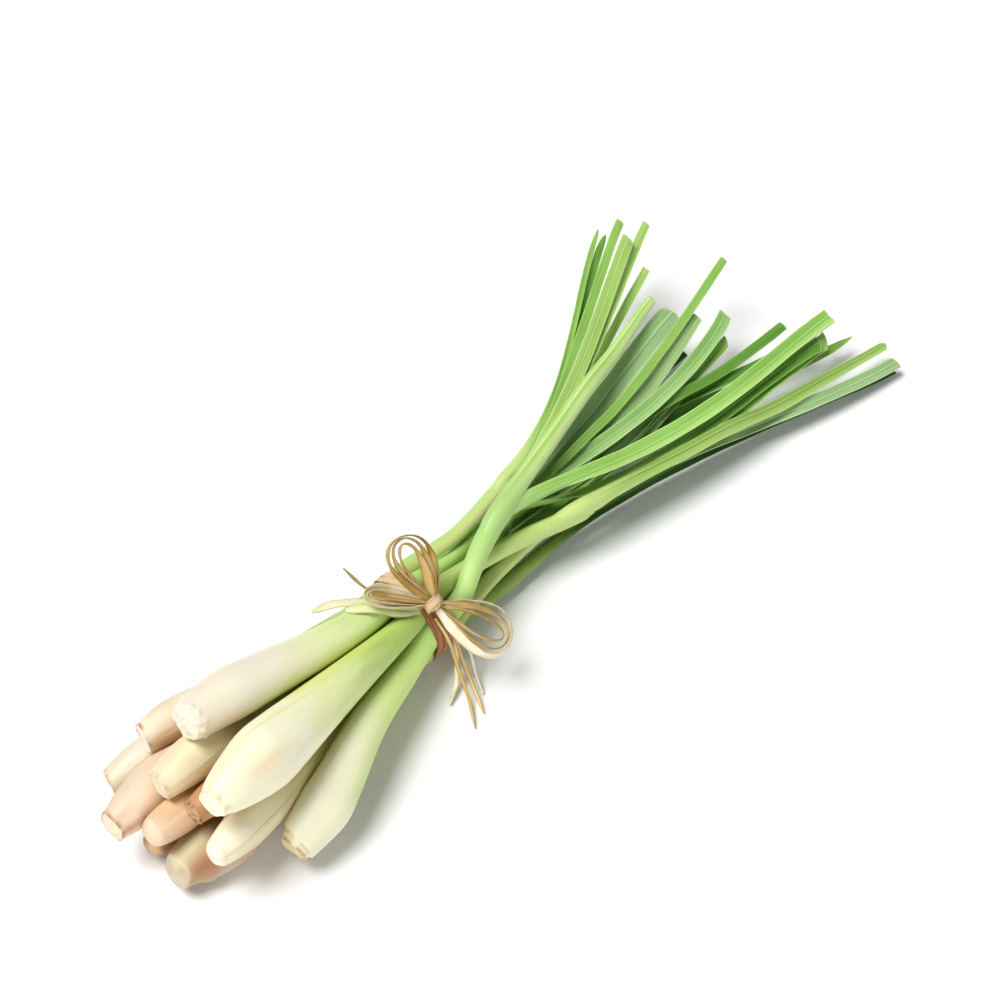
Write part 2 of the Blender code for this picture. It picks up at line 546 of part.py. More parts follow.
def build_bunch():
    for old in list(bpy.data.objects):
        bpy.data.objects.remove(old)
    collection = bpy.data.collections.new(BUNCH)
    bpy.context.scene.collection.children.link(collection)
    collection.objects.link(bpy.data.objects.new(BUNCH_EMPTY, None))

    xs, paths, radii = settle_stalks()
    for name in STALKS:
        make_stalk(name, xs, paths[name], radii[name])

    blade_xs, sections = settle_blades(xs, paths, radii)
    for name, section in sections.items():
        make_blade(name, blade_xs, section)

    wrap_radius = waist_radius(xs, paths, radii)
    for index, x in enumerate(TURN_PLACES, start=1):
        make_turn(f"raffia_turn_{index}", x, wrap_radius)
    make_knot(wrap_radius)
    for loop_name, loop in LOOPS.items():
        for letter, strand in zip("abc", loop["strands"]):
            make_loop_strand(f"{loop_name}_{letter}", loop, strand, wrap_radius)
    for name in TAILS:
        make_tail(name)
    stand_on_floor()


build_bunch()
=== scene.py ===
# A bunch of lemongrass tied with raffia: stalks, leaf blades and a bow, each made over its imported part.
# Sizes are in millimetres, and the meshes are turned into metres when they are made.
import math

import bpy
import numpy as np
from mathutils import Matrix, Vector


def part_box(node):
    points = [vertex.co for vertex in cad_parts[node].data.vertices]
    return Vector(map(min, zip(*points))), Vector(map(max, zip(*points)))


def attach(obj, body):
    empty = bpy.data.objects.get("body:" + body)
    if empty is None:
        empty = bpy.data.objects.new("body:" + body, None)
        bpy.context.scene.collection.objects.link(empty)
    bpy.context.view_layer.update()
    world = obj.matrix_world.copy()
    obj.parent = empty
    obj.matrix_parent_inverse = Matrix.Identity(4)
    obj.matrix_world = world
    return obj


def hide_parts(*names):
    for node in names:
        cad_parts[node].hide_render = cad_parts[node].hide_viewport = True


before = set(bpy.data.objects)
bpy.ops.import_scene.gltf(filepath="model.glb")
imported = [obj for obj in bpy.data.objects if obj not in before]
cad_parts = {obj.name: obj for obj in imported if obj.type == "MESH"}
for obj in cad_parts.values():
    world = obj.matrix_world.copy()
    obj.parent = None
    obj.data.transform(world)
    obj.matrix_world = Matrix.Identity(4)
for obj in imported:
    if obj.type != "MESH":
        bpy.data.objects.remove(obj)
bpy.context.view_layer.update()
mm = 0.001

# The waist is the middle of the tied necks, and the bow is built out from the knot
turnLow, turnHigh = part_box("raffia_turn_1")
knotLow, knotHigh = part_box("raffia_knot")
betweenTurns = (1.8, 0, 0)      # from the first turn of raffia to the middle of both
waist = np.array((turnLow + turnHigh) / 2) / mm + betweenTurns
knot = np.array((knotLow + knotHigh) / 2) / mm
alongBunch = (1, 0, 0)

view = dict(
    fromDirection=(-0.4924, -0.4132, 0.7660),   # from the bunch to the lens
    aim=(49.3, -5.2, 30.1),                     # aimed this far from the waist
    distance=900,
    lens=82.6,
)


def addObject(name, data):
    made = bpy.data.objects.new(name, data)
    bpy.context.scene.collection.objects.link(made)
    return made


def makeCamera():
    camera = bpy.data.cameras.new("camera")
    camera.lens = view["lens"]
    holder = addObject("camera", camera)
    back = Vector(view["fromDirection"]).normalized()
    aim = Vector((waist + view["aim"]) * mm)
    holder.location = aim + back * view["distance"] * mm
    holder.rotation_euler = back.to_track_quat("Z", "Y").to_euler()
    bpy.context.scene.camera = holder


# Shader helpers: a value is a number, a colour or a socket, and a node goes in the tree of its sockets
def colour(code):
    values = [int(code[i:i + 2], 16) / 255 for i in (0, 2, 4)]
    return (*[v / 12.92 if v <= 0.04045 else ((v + 0.055) / 1.055) ** 2.4 for v in values], 1)


def give(socket, value):
    if isinstance(value, bpy.types.NodeSocket):
        socket.id_data.links.new(value, socket)
    else:
        socket.default_value = value


def treeOf(*values):
    return next(value.id_data for value in values if isinstance(value, bpy.types.NodeSocket))


def addNode(kind, **inputs):
    node = treeOf(*inputs.values()).nodes.new(kind)
    for name, value in inputs.items():
        give(node.inputs[name], value)
    return node


def calc(operation, a, b=0):
    node = treeOf(a, b).nodes.new("ShaderNodeMath")
    node.operation = operation
    give(node.inputs[0], a)
    give(node.inputs[1], b)
    return node.outputs[0]


def plus(a, b):
    return calc("ADD", a, b)


def minus(a, b):
    return calc("SUBTRACT", a, b)


def times(a, b):
    return calc("MULTIPLY", a, b)


# Lays a colour over the base as far as the mask says
def paint(base, mask, code, blend="MIX"):
    node = treeOf(mask).nodes.new("ShaderNodeMix")
    node.data_type = "RGBA"
    node.blend_type = blend
    for number, value in zip((0, 6, 7), (mask, base, colour(code))):
        give(node.inputs[number], value)
    return node.outputs[2]


def remap(value, fromLow, fromHigh, toLow=0, toHigh=1):
    node = treeOf(value).nodes.new("ShaderNodeMapRange")
    node.interpolation_type = "SMOOTHSTEP"
    for socket, given in zip(node.inputs, (value, fromLow, fromHigh, toLow, toHigh)):
        give(socket, given)
    return node.outputs[0]


# Rises from 0 to 1 within the softness on each side of a middle value
def riseAt(value, middle, softness):
    return remap(value, minus(middle, softness), plus(middle, softness))


def addNoise(place, scale, detail, roughness=0.5):
    node = addNode("ShaderNodeTexNoise", Vector=place, Scale=scale, Detail=detail, Roughness=roughness)
    return node.outputs[0]


def splitPlace(place):
    return addNode("ShaderNodeSeparateXYZ", Vector=place).outputs


def newGroup(name, inputs, output):
    group = bpy.data.node_groups.new(name, "ShaderNodeTree")
    for socket, value in inputs.items():
        kind = "NodeSocketVector" if value is None else "NodeSocketFloat"
        made = group.interface.new_socket(socket, in_out="INPUT", socket_type=kind)
        if value is not None:
            made.default_value = value
    group.interface.new_socket(output, in_out="OUTPUT", socket_type="NodeSocketFloat")
    entry = group.nodes.new("NodeGroupInput")
    leave = group.nodes.new("NodeGroupOutput")
    return group, entry.outputs, leave.inputs[0]


def useGroup(group, **inputs):
    node = treeOf(*inputs.values()).nodes.new("ShaderNodeGroup")
    node.node_tree = group
    for name, value in inputs.items():
        give(node.inputs[name], value)
    return node.outputs[0]


# Fine lines that run along the plant: Place is (across, across, along) in millimetres
def makeFibreLines():
    inputs = dict(Place=None, Fineness=2, Length=0.03, Contrast=0.2)
    group, given, out = newGroup("fibreLines", inputs, "Lines")
    x, y, z = splitPlace(given["Place"])
    x, y = [times(side, given["Fineness"]) for side in (x, y)]
    drawn = addNode("ShaderNodeCombineXYZ", X=x, Y=y, Z=times(z, given["Length"]))
    noise = addNoise(drawn.outputs[0], 1, 3, 0.6)
    give(out, riseAt(noise, 0.5, given["Contrast"]))
    return group


# Soft patches a few millimetres or more across, drawn out along the plant
def makePatches():
    group, given, out = newGroup("patches", dict(Place=None, Size=10, Amount=0.5, Softness=0.15), "Mask")
    x, y, z = splitPlace(given["Place"])
    drawn = addNode("ShaderNodeCombineXYZ", X=x, Y=y, Z=times(z, 0.4))
    noise = addNoise(drawn.outputs[0], calc("DIVIDE", 1, given["Size"]), 2)
    give(out, riseAt(noise, minus(1, given["Amount"]), given["Softness"]))
    return group


# The two long edges of a strip, where Across is -1 and 1
def makeEdgeBands():
    group, given, out = newGroup("edgeBands", dict(Across=0, Place=None, Width=0.1, Wander=0.1), "Mask")
    drift = times(minus(addNoise(given["Place"], 0.3, 2), 0.5), given["Wander"])
    fromMiddle = plus(calc("ABSOLUTE", given["Across"]), drift)
    inner = minus(1, given["Width"])
    start = minus(inner, times(given["Width"], 0.6))
    give(out, remap(fromMiddle, start, inner))
    return group


fibreLines = makeFibreLines()
patches = makePatches()
edgeBands = makeEdgeBands()


def newMaterial(name):
    material = bpy.data.materials.new(name)
    material.use_nodes = True
    return material, material.node_tree, material.node_tree.nodes["Principled BSDF"].inputs


def readTrait(tree, name, vector=False):
    node = tree.nodes.new("ShaderNodeAttribute")
    node.attribute_name = name
    return node.outputs["Vector" if vector else "Fac"]


# Roughness is (mask, least, most), softness is (weight, radius, depth) and bump is (height, depth, strength)
def finishMaterial(shader, base, roughness, softness, bump):
    mask, least, most = roughness
    give(shader["Base Color"], base)
    give(shader["Roughness"], remap(mask, 0, 1, least, most))
    shader["Subsurface Weight"].default_value = softness[0]
    shader["Subsurface Radius"].default_value = softness[1]
    shader["Subsurface Scale"].default_value = softness[2] * mm
    height, distance, strength = bump
    bumped = addNode("ShaderNodeBump", Height=height, Distance=distance * mm, Strength=strength)
    give(shader["Normal"], bumped.outputs[0])


# Part of the way, f, from a row to the next one, on a smooth curve with the slopes given
def curveOn(rows, slopes, row, f, size=1):
    start = rows[row] * (2 * f ** 3 - 3 * f ** 2 + 1) + slopes[row] * size * (f ** 3 - 2 * f ** 2 + f)
    return start + rows[row + 1] * (3 * f ** 2 - 2 * f ** 3) + slopes[row + 1] * size * (f ** 3 - f ** 2)


# Smooth values between rows that are given at even steps, read at t from 0 to 1
def between(rows, t):
    place = np.clip(t, 0, 1) * (len(rows) - 1)
    row = np.clip(place.astype(int), 0, len(rows) - 2)
    f = (place - row).reshape((-1,) + (1,) * (rows.ndim - 1))
    return curveOn(rows, np.gradient(rows, axis=0), row, f)


# The columns of values at places between the known ones
def readAt(places, known, values):
    return np.stack([np.interp(places, known, column) for column in values.T], axis=-1)


# A soft rise from 0 at the start to 1 at the finish
def ease(value, start=0, finish=1):
    t = np.clip((value - start) / (finish - start), 0, 1)
    return t * t * (3 - 2 * t)


def unit(vectors):
    return vectors / np.maximum(np.linalg.norm(vectors, axis=-1, keepdims=True), 1e-9)


def lengthsAlong(path):
    return np.concatenate([[0], np.cumsum(np.linalg.norm(np.diff(path, axis=0), axis=1))])


# The direction out of the bunch at an angle, where 0 is level, 90 degrees is up and 180 faces the viewer
def outward(angle):
    return np.stack([np.zeros_like(angle), np.cos(angle), np.sin(angle)], axis=-1)


packedRings = 17        # every packed stalk and blade has this many rows of corners


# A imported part's own corner points, shared out to its even rows along the bunch
def packedRows(name):
    corners = np.array([vertex.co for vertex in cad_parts[name].data.vertices]) / mm
    corners = np.unique(np.round(corners, 3), axis=0)
    ends = corners[:, 0].min(), corners[:, 0].max()
    for _ in range(4):
        nearest = np.abs(corners[:, :1] - np.linspace(*ends, packedRings)).argmin(axis=1)
        ends = corners[nearest == 0, 0].mean(), corners[nearest == packedRings - 1, 0].mean()
    return [corners[nearest == row] for row in range(packedRings)]


# A closed skin over rings of points: its ends close in a point or, for a flat strip, in a narrow cap
def skin(name, rings, traits, material, flat=False, ends=None):
    rows, columns = rings.shape[:2]
    points = rings.reshape(-1, 3)
    index = np.arange(rows * columns).reshape(rows, columns)
    after = np.roll(index, -1, axis=1)
    faces = np.stack([index[:-1], after[:-1], after[1:], index[1:]], axis=-1).reshape(-1, 4).tolist()
    u = np.arange(columns + 1) / columns
    v = np.linspace(0.03, 0.97, rows)
    uv = np.empty((rows - 1, columns, 4, 2))
    uv[..., 0] = np.stack([u[:-1], u[1:], u[1:], u[:-1]], axis=-1)
    uv[..., 1] = np.stack([v[:-1], v[:-1], v[1:], v[1:]], axis=-1)[:, None, :]
    uv = uv.reshape(-1, 2).tolist()
    if flat:
        for row, low, high in ((0, 0, 0.02), (rows - 1, 1, 0.98)):
            turned = -1 if row else 1
            for k in range(columns // 2 - 1):
                face = [int(index[row, column]) for column in (k, -1 - k, -2 - k, k + 1)]
                faces.append(face[::turned])
                uv.extend([(u[k], high), (u[k], low), (u[k + 1], low), (u[k + 1], high)][::turned])
    else:
        points = np.concatenate([points, ends])
        for k in range(columns):
            faces.append([rows * columns, int(after[0, k]), int(index[0, k])])
            uv.extend([(u[k] + 0.5 / columns, 0), (u[k + 1], v[0]), (u[k], v[0])])
            faces.append([rows * columns + 1, int(index[-1, k]), int(after[-1, k])])
            uv.extend([(u[k] + 0.5 / columns, 1), (u[k], v[-1]), (u[k + 1], v[-1])])
    mesh = bpy.data.meshes.new(name)
    mesh.from_pydata((points * mm).tolist(), [], faces)
    mesh.uv_layers.new(name="OFBake").data.foreach_set("uv", np.array(uv, np.float32).ravel())
    for trait, values in traits.items():
        values = values.reshape(rows, columns, -1)
        size = values.shape[2]
        everyPoint = values.reshape(-1, size)
        if not flat:
            everyPoint = np.concatenate([everyPoint, values[:1].mean(axis=1), values[-1:].mean(axis=1)])
        field = mesh.attributes.new(trait, "FLOAT_VECTOR" if size == 3 else "FLOAT", "POINT")
        field.data.foreach_set("vector" if size == 3 else "value", everyPoint.astype(np.float32).ravel())
    mesh.materials.append(material)
    mesh.shade_smooth()
    if flat:
        mesh.set_sharp_from_angle(angle=math.radians(55))
    piece = addObject(name, mesh)
    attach(piece, "root")
    return piece


# A thin strip: a grid of middle points is given thickness on both sides
def strip(name, grid, thickness, traits, material):
    normal = unit(np.cross(np.gradient(grid, axis=0), np.gradient(grid, axis=1)))
    half = 0.5 * thickness[..., None]
    rings = np.concatenate([grid + normal * half, (grid - normal * half)[:, ::-1]], axis=1)
    both = {trait: np.concatenate([values, values[:, ::-1]], axis=1) for trait, values in traits.items()}
    return skin(name, rings, both, material, flat=True)


# Loose ends narrow at root and tip, loops are pinched at the knot, and the wrap's rust-brown strands,
# darkened partly as painted shade, turn to a dried colour
raffia = dict(
    thickness=0.22, curl=0.35, columns=9, sway=0.12, edgeSway=0.05, widestCup=1.2, dried=(62, 72),
    tailRows=72, tailRoot=0.25, tailTip=0.45, loopRows=80, loopEnds=(0.025, 0.975), pinched=0.55,
)


def raffiaMaterial(name, main, inside, edge, edgeWidth=0.22, browning=0.45, turned=None):
    material, tree, shader = newMaterial(name)
    place = readTrait(tree, "place", True)
    lines = useGroup(fibreLines, Place=place, Fineness=4.5, Length=0.06)
    blotch = useGroup(patches, Place=place, Size=9, Amount=browning, Softness=0.12)
    rim = useGroup(edgeBands, Across=readTrait(tree, "across"), Place=place, Width=edgeWidth, Wander=0.4)
    base = paint(colour(main), blotch, inside)
    base = paint(base, times(lines, 0.22), edge)
    base = paint(base, times(rim, 0.62), edge)
    if turned:
        far = remap(splitPlace(place)[2], *raffia["dried"])
        base = paint(base, times(far, 0.85), turned)
    finishMaterial(shader, base, (lines, 0.42, 0.66), (0.08, (1, 0.8, 0.5), 0.8), (lines, 0.12, 0.6))
    return material


# Raffia finishes: main colour, blotches and edges, how wide the edges are, how blotched, dried colour
raffiaKinds = {
    "tan": ("d0ae6c", "e4cd98", "8d6a1e"),
    "gold": ("b98f3c", "d9bf78", "7a5a10", 0.35, 0.5),
    "pale": ("f2e9cd", "f8f2df", "b8903c", 0.14, 0.4),
    "green": ("dbe0a6", "efe9c8", "9fa648", 0.14, 0.45),
    "lime": ("a9a83c", "c9c66c", "5d5a16", 0.35, 0.5),
    # the wrap's rust brown is partly the raffia's own colour and partly painted shade where it lies under
    # the knot
    "rustAndShade": ("b87a48", "cf9a66", "6a4424", 0.2, 0.4, "e2cc9e"),
    "knot": ("d9b68e", "e6cba6", "a97a48", 0.16, 0.5),
}
raffiaMaterials = {kind: raffiaMaterial("raffia_" + kind, *look) for kind, look in raffiaKinds.items()}


# A ribbon along a path: side is the direction across it, turned about the path by the twist in degrees
def ribbon(name, path, side, width, kind, twist, seed, curl=raffia["curl"], crease=0):
    shape = len(path), raffia["columns"]
    heading = unit(np.gradient(path, axis=0))
    side = unit(side - np.sum(side * heading, axis=1, keepdims=True) * heading)
    face = np.cross(heading, side)
    turn = np.radians(twist)[:, None]
    side, face = side * np.cos(turn) + face * np.sin(turn), face * np.cos(turn) - side * np.sin(turn)
    u = np.linspace(-1, 1, shape[1])
    half = 0.5 * width[:, None]
    steps = lengthsAlong(path)[:, None]
    sway = raffia["sway"] * np.sin(steps * 0.55 + seed * 1.7)
    lift = curl * (u ** 2 - 0.4) + crease * np.cos(u * math.pi * 2.2 + seed) + sway * u
    edgeSway = 1 + raffia["edgeSway"] * np.sin(steps * 0.9 + seed)
    grid = (path[:, None] + side[:, None] * (u * half * edgeSway)[..., None]
            + face[:, None] * (lift * np.minimum(half, raffia["widestCup"]))[..., None])
    place = np.stack([u * half, np.full(shape, seed * 13), np.tile(steps, shape[1])], axis=-1)
    traits = dict(across=np.tile(u, (shape[0], 1)), place=place)
    piece = strip(name, grid, np.full(shape, raffia["thickness"]), traits, raffiaMaterials[kind])
    return piece


def smoothRoute(points, count):
    points = np.array(points, float)
    lengths = lengthsAlong(points)
    reading = np.linspace(0, lengths[-1], count)
    row = np.clip(np.searchsorted(lengths, reading) - 1, 0, len(points) - 2)
    size = (lengths[row + 1] - lengths[row])[:, None]
    slopes = np.gradient(points, lengths, axis=0)
    return curveOn(points, slopes, row, (reading - lengths[row])[:, None] / size, size)


# Loose ends: route from the middle of the waist, direction across, width, and twist at the start and the tip
tails = {
    "raffia_tail_left_1": dict(width=1.9, across=(0.8, 0.6, 0), twist=(0, 20), kind="lime", route=[
        (-2.8, -7.9, 19.7), (-7, -5.6, 22.2), (-12, -2.4, 25.6), (-16.5, 5, 29.6), (-18, 16, 35)]),
    "raffia_tail_left_2": dict(width=4.2, across=(0.7, 0.7, 0), twist=(0, 10), kind="green", route=[
        (-4.8, -9.5, 19), (-13, -4.5, 23.6), (-23, 6.5, 26.7), (-29, 13, 25.9), (-34, 18.5, 22)]),
    "raffia_tail_left_3": dict(width=3.6, across=(0.7, 0.7, 0), twist=(0, -15), kind="green", route=[
        (-5.4, -10.7, 17.9), (-13, -7.2, 21.5), (-22, 0.2, 27.2), (-28, 6.2, 27.3)]),
    "raffia_tail_right_1": dict(width=1.5, across=alongBunch, twist=(40, 60), kind="tan", route=[
        (-2.3, -15.9, 14.7), (-1.5, -21.5, 5.5), (-3, -28, -7.3), (-7, -37, -16.3), (-14, -45.5, -18.4)]),
    "raffia_tail_right_2": dict(width=1.4, across=alongBunch, twist=(0, 45), kind="tan", route=[
        (0.1, -16.4, 14.4), (1.2, -22, 5.5), (0, -28.5, -7.3), (-3.5, -38, -16.3), (-6.5, -43.5, -18.4)]),
    "raffia_tail_right_3": dict(width=1.2, across=alongBunch, twist=(0, 30), kind="pale", route=[
        (4.2, -14.7, 15.5), (5.5, -21, 5.5), (5.5, -27, -7.3), (2.5, -33, -16), (0.5, -37.5, -18.4)]),
    "raffia_tail_right_4": dict(width=2, across=alongBunch, twist=(60, 50), kind="pale", route=[
        (2.4, -15.9, 14.7), (3, -20.5, 5.5), (0.5, -24, -7.3), (-5, -28, -16), (-12, -31, -18.4)]),
}


def makeTails():
    for order, (name, tail) in enumerate(tails.items()):
        path = smoothRoute(tail["route"], raffia["tailRows"]) + waist
        t = np.linspace(0, 1, len(path))
        root = 1 - raffia["tailRoot"] * (1 - ease(t, 0, 0.3))
        width = tail["width"] * root * (1 - raffia["tailTip"] * ease(t, 0.9, 1))
        twist = np.interp(t, (0, 1), tail["twist"])
        piece = ribbon(name + "_strand", path, tail["across"], width, tail["kind"], twist, order + 1)
        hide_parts(name)


# Bow loops, as vectors along the bunch, up round the waist and outward. A strand has its parts of the spread
# and reach, and its twist and width at the start, the crown and the end.
bow = {
    "raffia_loop_top": dict(reach=(1.4, 28.4, 11.6), spread=(9, -2.6, 0), strands={
        "a": dict(size=(1, 1), twist=(58, 8, -48), width=(4.4, 1.6, 4.4), kind="gold"),
        "b": dict(size=(0.72, 0.97), twist=(52, 12, -52), width=(4.6, 1.6, 4.8), kind="tan"),
        "c": dict(size=(0.45, 0.9), twist=(60, 22, -44), width=(4.6, 1.7, 4.2), kind="tan")}),
    "raffia_loop_left": dict(reach=(-21.2, 21, 3.2), spread=(3.8, 2.1, 0), strands={
        "a": dict(size=(1, 1), twist=(70, 40, 20), width=(2.6, 2, 3.6), kind="pale"),
        "b": dict(size=(0.55, 0.95), twist=(60, 40, 40), width=(2.2, 1.8, 2.6), kind="pale"),
        "c": dict(size=(0.15, 0.88), twist=(60, 50, 30), width=(2, 1.8, 3.4), kind="tan")}),
    "raffia_loop_right": dict(reach=(14.6, -31, 2), spread=(9.2, 4.8, 0), strands={
        "a": dict(size=(1, 1), twist=(-20, 25, 64), width=(2.4, 2.8, 4.2), kind="pale"),
        "b": dict(size=(0.7, 0.96), twist=(-62, -5, 40), width=(3.8, 1.8, 2.2), kind="tan"),
        "c": dict(size=(0.4, 0.9), twist=(55, 5, 20), width=(3.6, 1.8, 2), kind="tan")}),
}
knotLean = math.radians(56)     # where the knot sits, up from the side that faces the viewer
knotFrame = np.array([[1, 0, 0], [0, math.sin(knotLean), math.cos(knotLean)],
                      [0, -math.cos(knotLean), math.sin(knotLean)]])


def makeLoops():
    for name, loop in bow.items():
        for letter, strand in loop["strands"].items():
            part, length = strand["size"]
            reach = length * np.array(loop["reach"]) @ knotFrame
            spread = part * np.array(loop["spread"]) @ knotFrame
            t = np.linspace(*raffia["loopEnds"], raffia["loopRows"])
            turn = math.pi * t[:, None]
            path = knot + np.sin(turn) * reach + np.sin(2 * turn) * spread
            start, crown, end = strand["width"]
            pinched = raffia["pinched"]
            width = np.interp(t, (0, 0.12, 0.35, 0.5, 0.75, 0.9, 1), (
                pinched * start, start, crown, crown, 0.5 * (crown + end), end, pinched * end))
            start, crown, end = strand["twist"]
            twist = np.interp(t, (0, 0.3, 0.7, 1), (start, crown, crown, end))
            piece = ribbon(f"{name}_{letter}_strand", path, unit(np.cross(reach, spread)), width,
                           strand["kind"], twist, ord(letter) * 0.37 + part, crease=0.12)
            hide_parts(f"{name}_{letter}")


makeCamera()
makeTails()
makeLoops()
print("camera, loose ends and bow loops made")


stem = dict(
    columns=92, firstStep=0.7, lastStep=2.2, fineLength=40, fill=1.015, lowest=0.1,
    topLength=5, topShrink=0.3,     # the top narrows into its blades
    edgeReach=110, edgeSway=7,      # the sheath's edge gets from one angle to the other over this length
    outOfRound=0.012, ripples=0.1, cutRipples=0.22, knobHeight=0.8, knobHalf=7, tiltReach=16,
    colourStops=(0.18, 0.32, 0.5, 0.85), colourReach=200, streaks=6, drifts=12, blushEnds=(75, 12),
)

# What a stalk has unless its row says otherwise: how high its free edge is, how much its base narrows and
# over what length, knobs as (angle, place), swellings as (angle, half, start, end, height) and end lumps
plainStalk = dict(step=0.2, taper=(0, 10), knobs=[], bulges=[], lumps=0, stains=[])

# Each stalk: the angles of its sheath's free edge at the base and the neck (90 is up, 180 faces the viewer),
# the cut end and its tilt, colours from base to top, tints of the cut face, the rim and the free edge,
# and marks, which are real stains except where a row says painted shade: the middle angle and half of
# what one covers, its start, end, colour and amount
stalks = {
    "stalk_01": dict(
        edge=(215, 190), step=0.15, end="knobbly", tilt=(0.1, 200), lumps=0.42,
        colours="efe7d0 f4edd8 e8f1b2 c0e07c b0d674", tints="f1e9d8 dcc8a8 d5dd8a", blush=("f0d6c2", 0.3),
        knobs=[(100, 0.6), (122, 1.6), (146, 0.8), (150, 3.2), (172, 1.8), (192, 0.7), (205, 2.6)],
        stains=[(206, 30, 20, 125, "c8e67c", 0.6), (190, 22, 0, 24, "dcc49c", 0.6)]),
    # stalk_02's brown underside marks are partly its tan outer sheath and partly painted shade
    "stalk_02": dict(
        edge=(150, 120), step=0.3, end="cut", tilt=(0.15, 180),
        colours="f3ead2 efe4c8 dfdca2 b4cf76 c3db88", tints="f7efdc a8743a e2c190", blush=("dfb584", 0.45),
        stains=[(184, 44, 2, 60, "bd8040", 1), (192, 26, 6, 44, "a2652c", 0.8)]),
    "stalk_03": dict(
        edge=(120, 90), end="cut", tilt=(0.3, 160),
        colours="e8dfc8 ebe2cd dcd7a4 b4cd74 c3db88", tints="ece0b0 c09a5a e2dca0", blush=("dcb88c", 0.4),
        stains=[(190, 40, 8, 60, "c2924f", 0.95)]),
    # stalk_04's first olive-brown mark over its upper side is painted shadow cast by stalk_01
    "stalk_04": dict(
        edge=(150, 110), end="cut", tilt=(0.1, 150),
        colours="efe5c6 e8dab4 c0b178 8f9448 86a84c", tints="f2e8c8 cba468 c9bb84", blush=("e6c8a0", 0.45),
        stains=[(100, 90, 30, 115, "94864c", 0.95), (196, 28, 0, 34, "dcc79c", 0.5)]),
    "stalk_05": dict(
        edge=(62, 80), step=0.35, end="facet", tilt=(0.05, 0), taper=(0.12, 6),
        colours="f6f2d0 f8f6da e4edaa b0cd68 bcd37c", tints="f7f4da e2d9a6 dde27c", blush=("efdcb6", 0.14),
        knobs=[(115, 0.2), (160, 0.6), (205, 0.3)],
        stains=[(45, 24, 50, 100, "dbdc70", 0.8), (130, 15, 13, 30, "e4c79c", 0.6),
                (200, 30, 60, 125, "b0cc6c", 0.5)]),
    "stalk_06": dict(
        edge=(250, 230), step=0.15, end="cut", tilt=(0.12, 190), taper=(0.08, 8),
        colours="e8d2b8 ead9c0 e3d0ac b9c07a 98b95e", tints="f1dfc4 a5713c ecd9b8", blush=("e2b698", 0.5),
        stains=[(165, 16, 0, 8, "a8713c", 1), (205, 34, 0, 44, "ebcdbb", 0.7),
                (110, 20, 0, 4, "b98a56", 0.8)]),
    # stalk_07's dark brown colours are partly its own and partly painted shade for the shadowed gap between
    # stalk_04 and stalk_05
    "stalk_07": dict(
        edge=(280, 250), end="spiral", tilt=(0.1, 150), taper=(0.12, 8),
        colours="c69468 b27e4e b5925e a0a05c 86a84c", tints="d6aa80 74431a c89c6c", blush=("9a6236", 0.5)),
    "stalk_08": dict(
        edge=(90, 70), end="rounded", tilt=(0.1, 180),
        colours="bd9058 b0844e c0a06c 98a05c 86a84c", tints="e2c898 8a5a28 c39a62", blush=("96632e", 0.6),
        stains=[(120, 34, 0, 10, "ecd8aa", 0.7)]),
    "stalk_09": dict(
        edge=(120, 100), step=0.15, end="rounded", tilt=(0.1, 160),
        colours="e6c8a6 dfbe98 d6be8c b0b870 86a84c", tints="f4e0c8 e6c8a4 ecd6b0", blush=("d9a47c", 0.55),
        stains=[(64, 24, 8, 26, "ecc878", 0.85), (196, 30, 4, 50, "bd8458", 0.8)]),
    "stalk_10": dict(
        edge=(300, 300), end="tongue", tilt=(0.25, 250),
        colours="bfa780 b38e68 ac9262 8a9446 7f9a44", tints="e6e6cc d2bf98 c9a36c", blush=("ac7452", 0.6),
        bulges=[(206, 34, 3, 46, 2.4)],
        stains=[(82, 34, 0, 14, "c9c6a2", 0.9), (158, 26, 2, 60, "a86e4a", 0.95),
                (222, 40, 12, 60, "f0dfcb", 0.9)]),
    "stalk_11": dict(
        edge=(150, 130), end="rounded", tilt=(0.15, 170),
        colours="f8f1d6 f0e4b8 d2cc7a b0bf60 b3ca78", tints="f6f0de e6d6b0 cfca74", blush=("e8ceaa", 0.25),
        stains=[(196, 28, 6, 60, "e2cc98", 0.7), (70, 36, 18, 110, "dcd68a", 0.6)]),
    "stalk_12": dict(
        edge=(300, 300), step=0.1, end="collar", tilt=(0.12, 180),
        colours="f1eed0 f5f5cf e2f3a0 c8ec88 a8cf78", tints="ecdfae b08a48 cfe07a", blush=("e8dab4", 0.3),
        collar=dict(at=150, spread=330, start=1.9, height=1.2),
        stains=[(192, 38, 26, 120, "bfe164", 0.8), (74, 34, 4, 60, "fbfaec", 0.7)]),
}

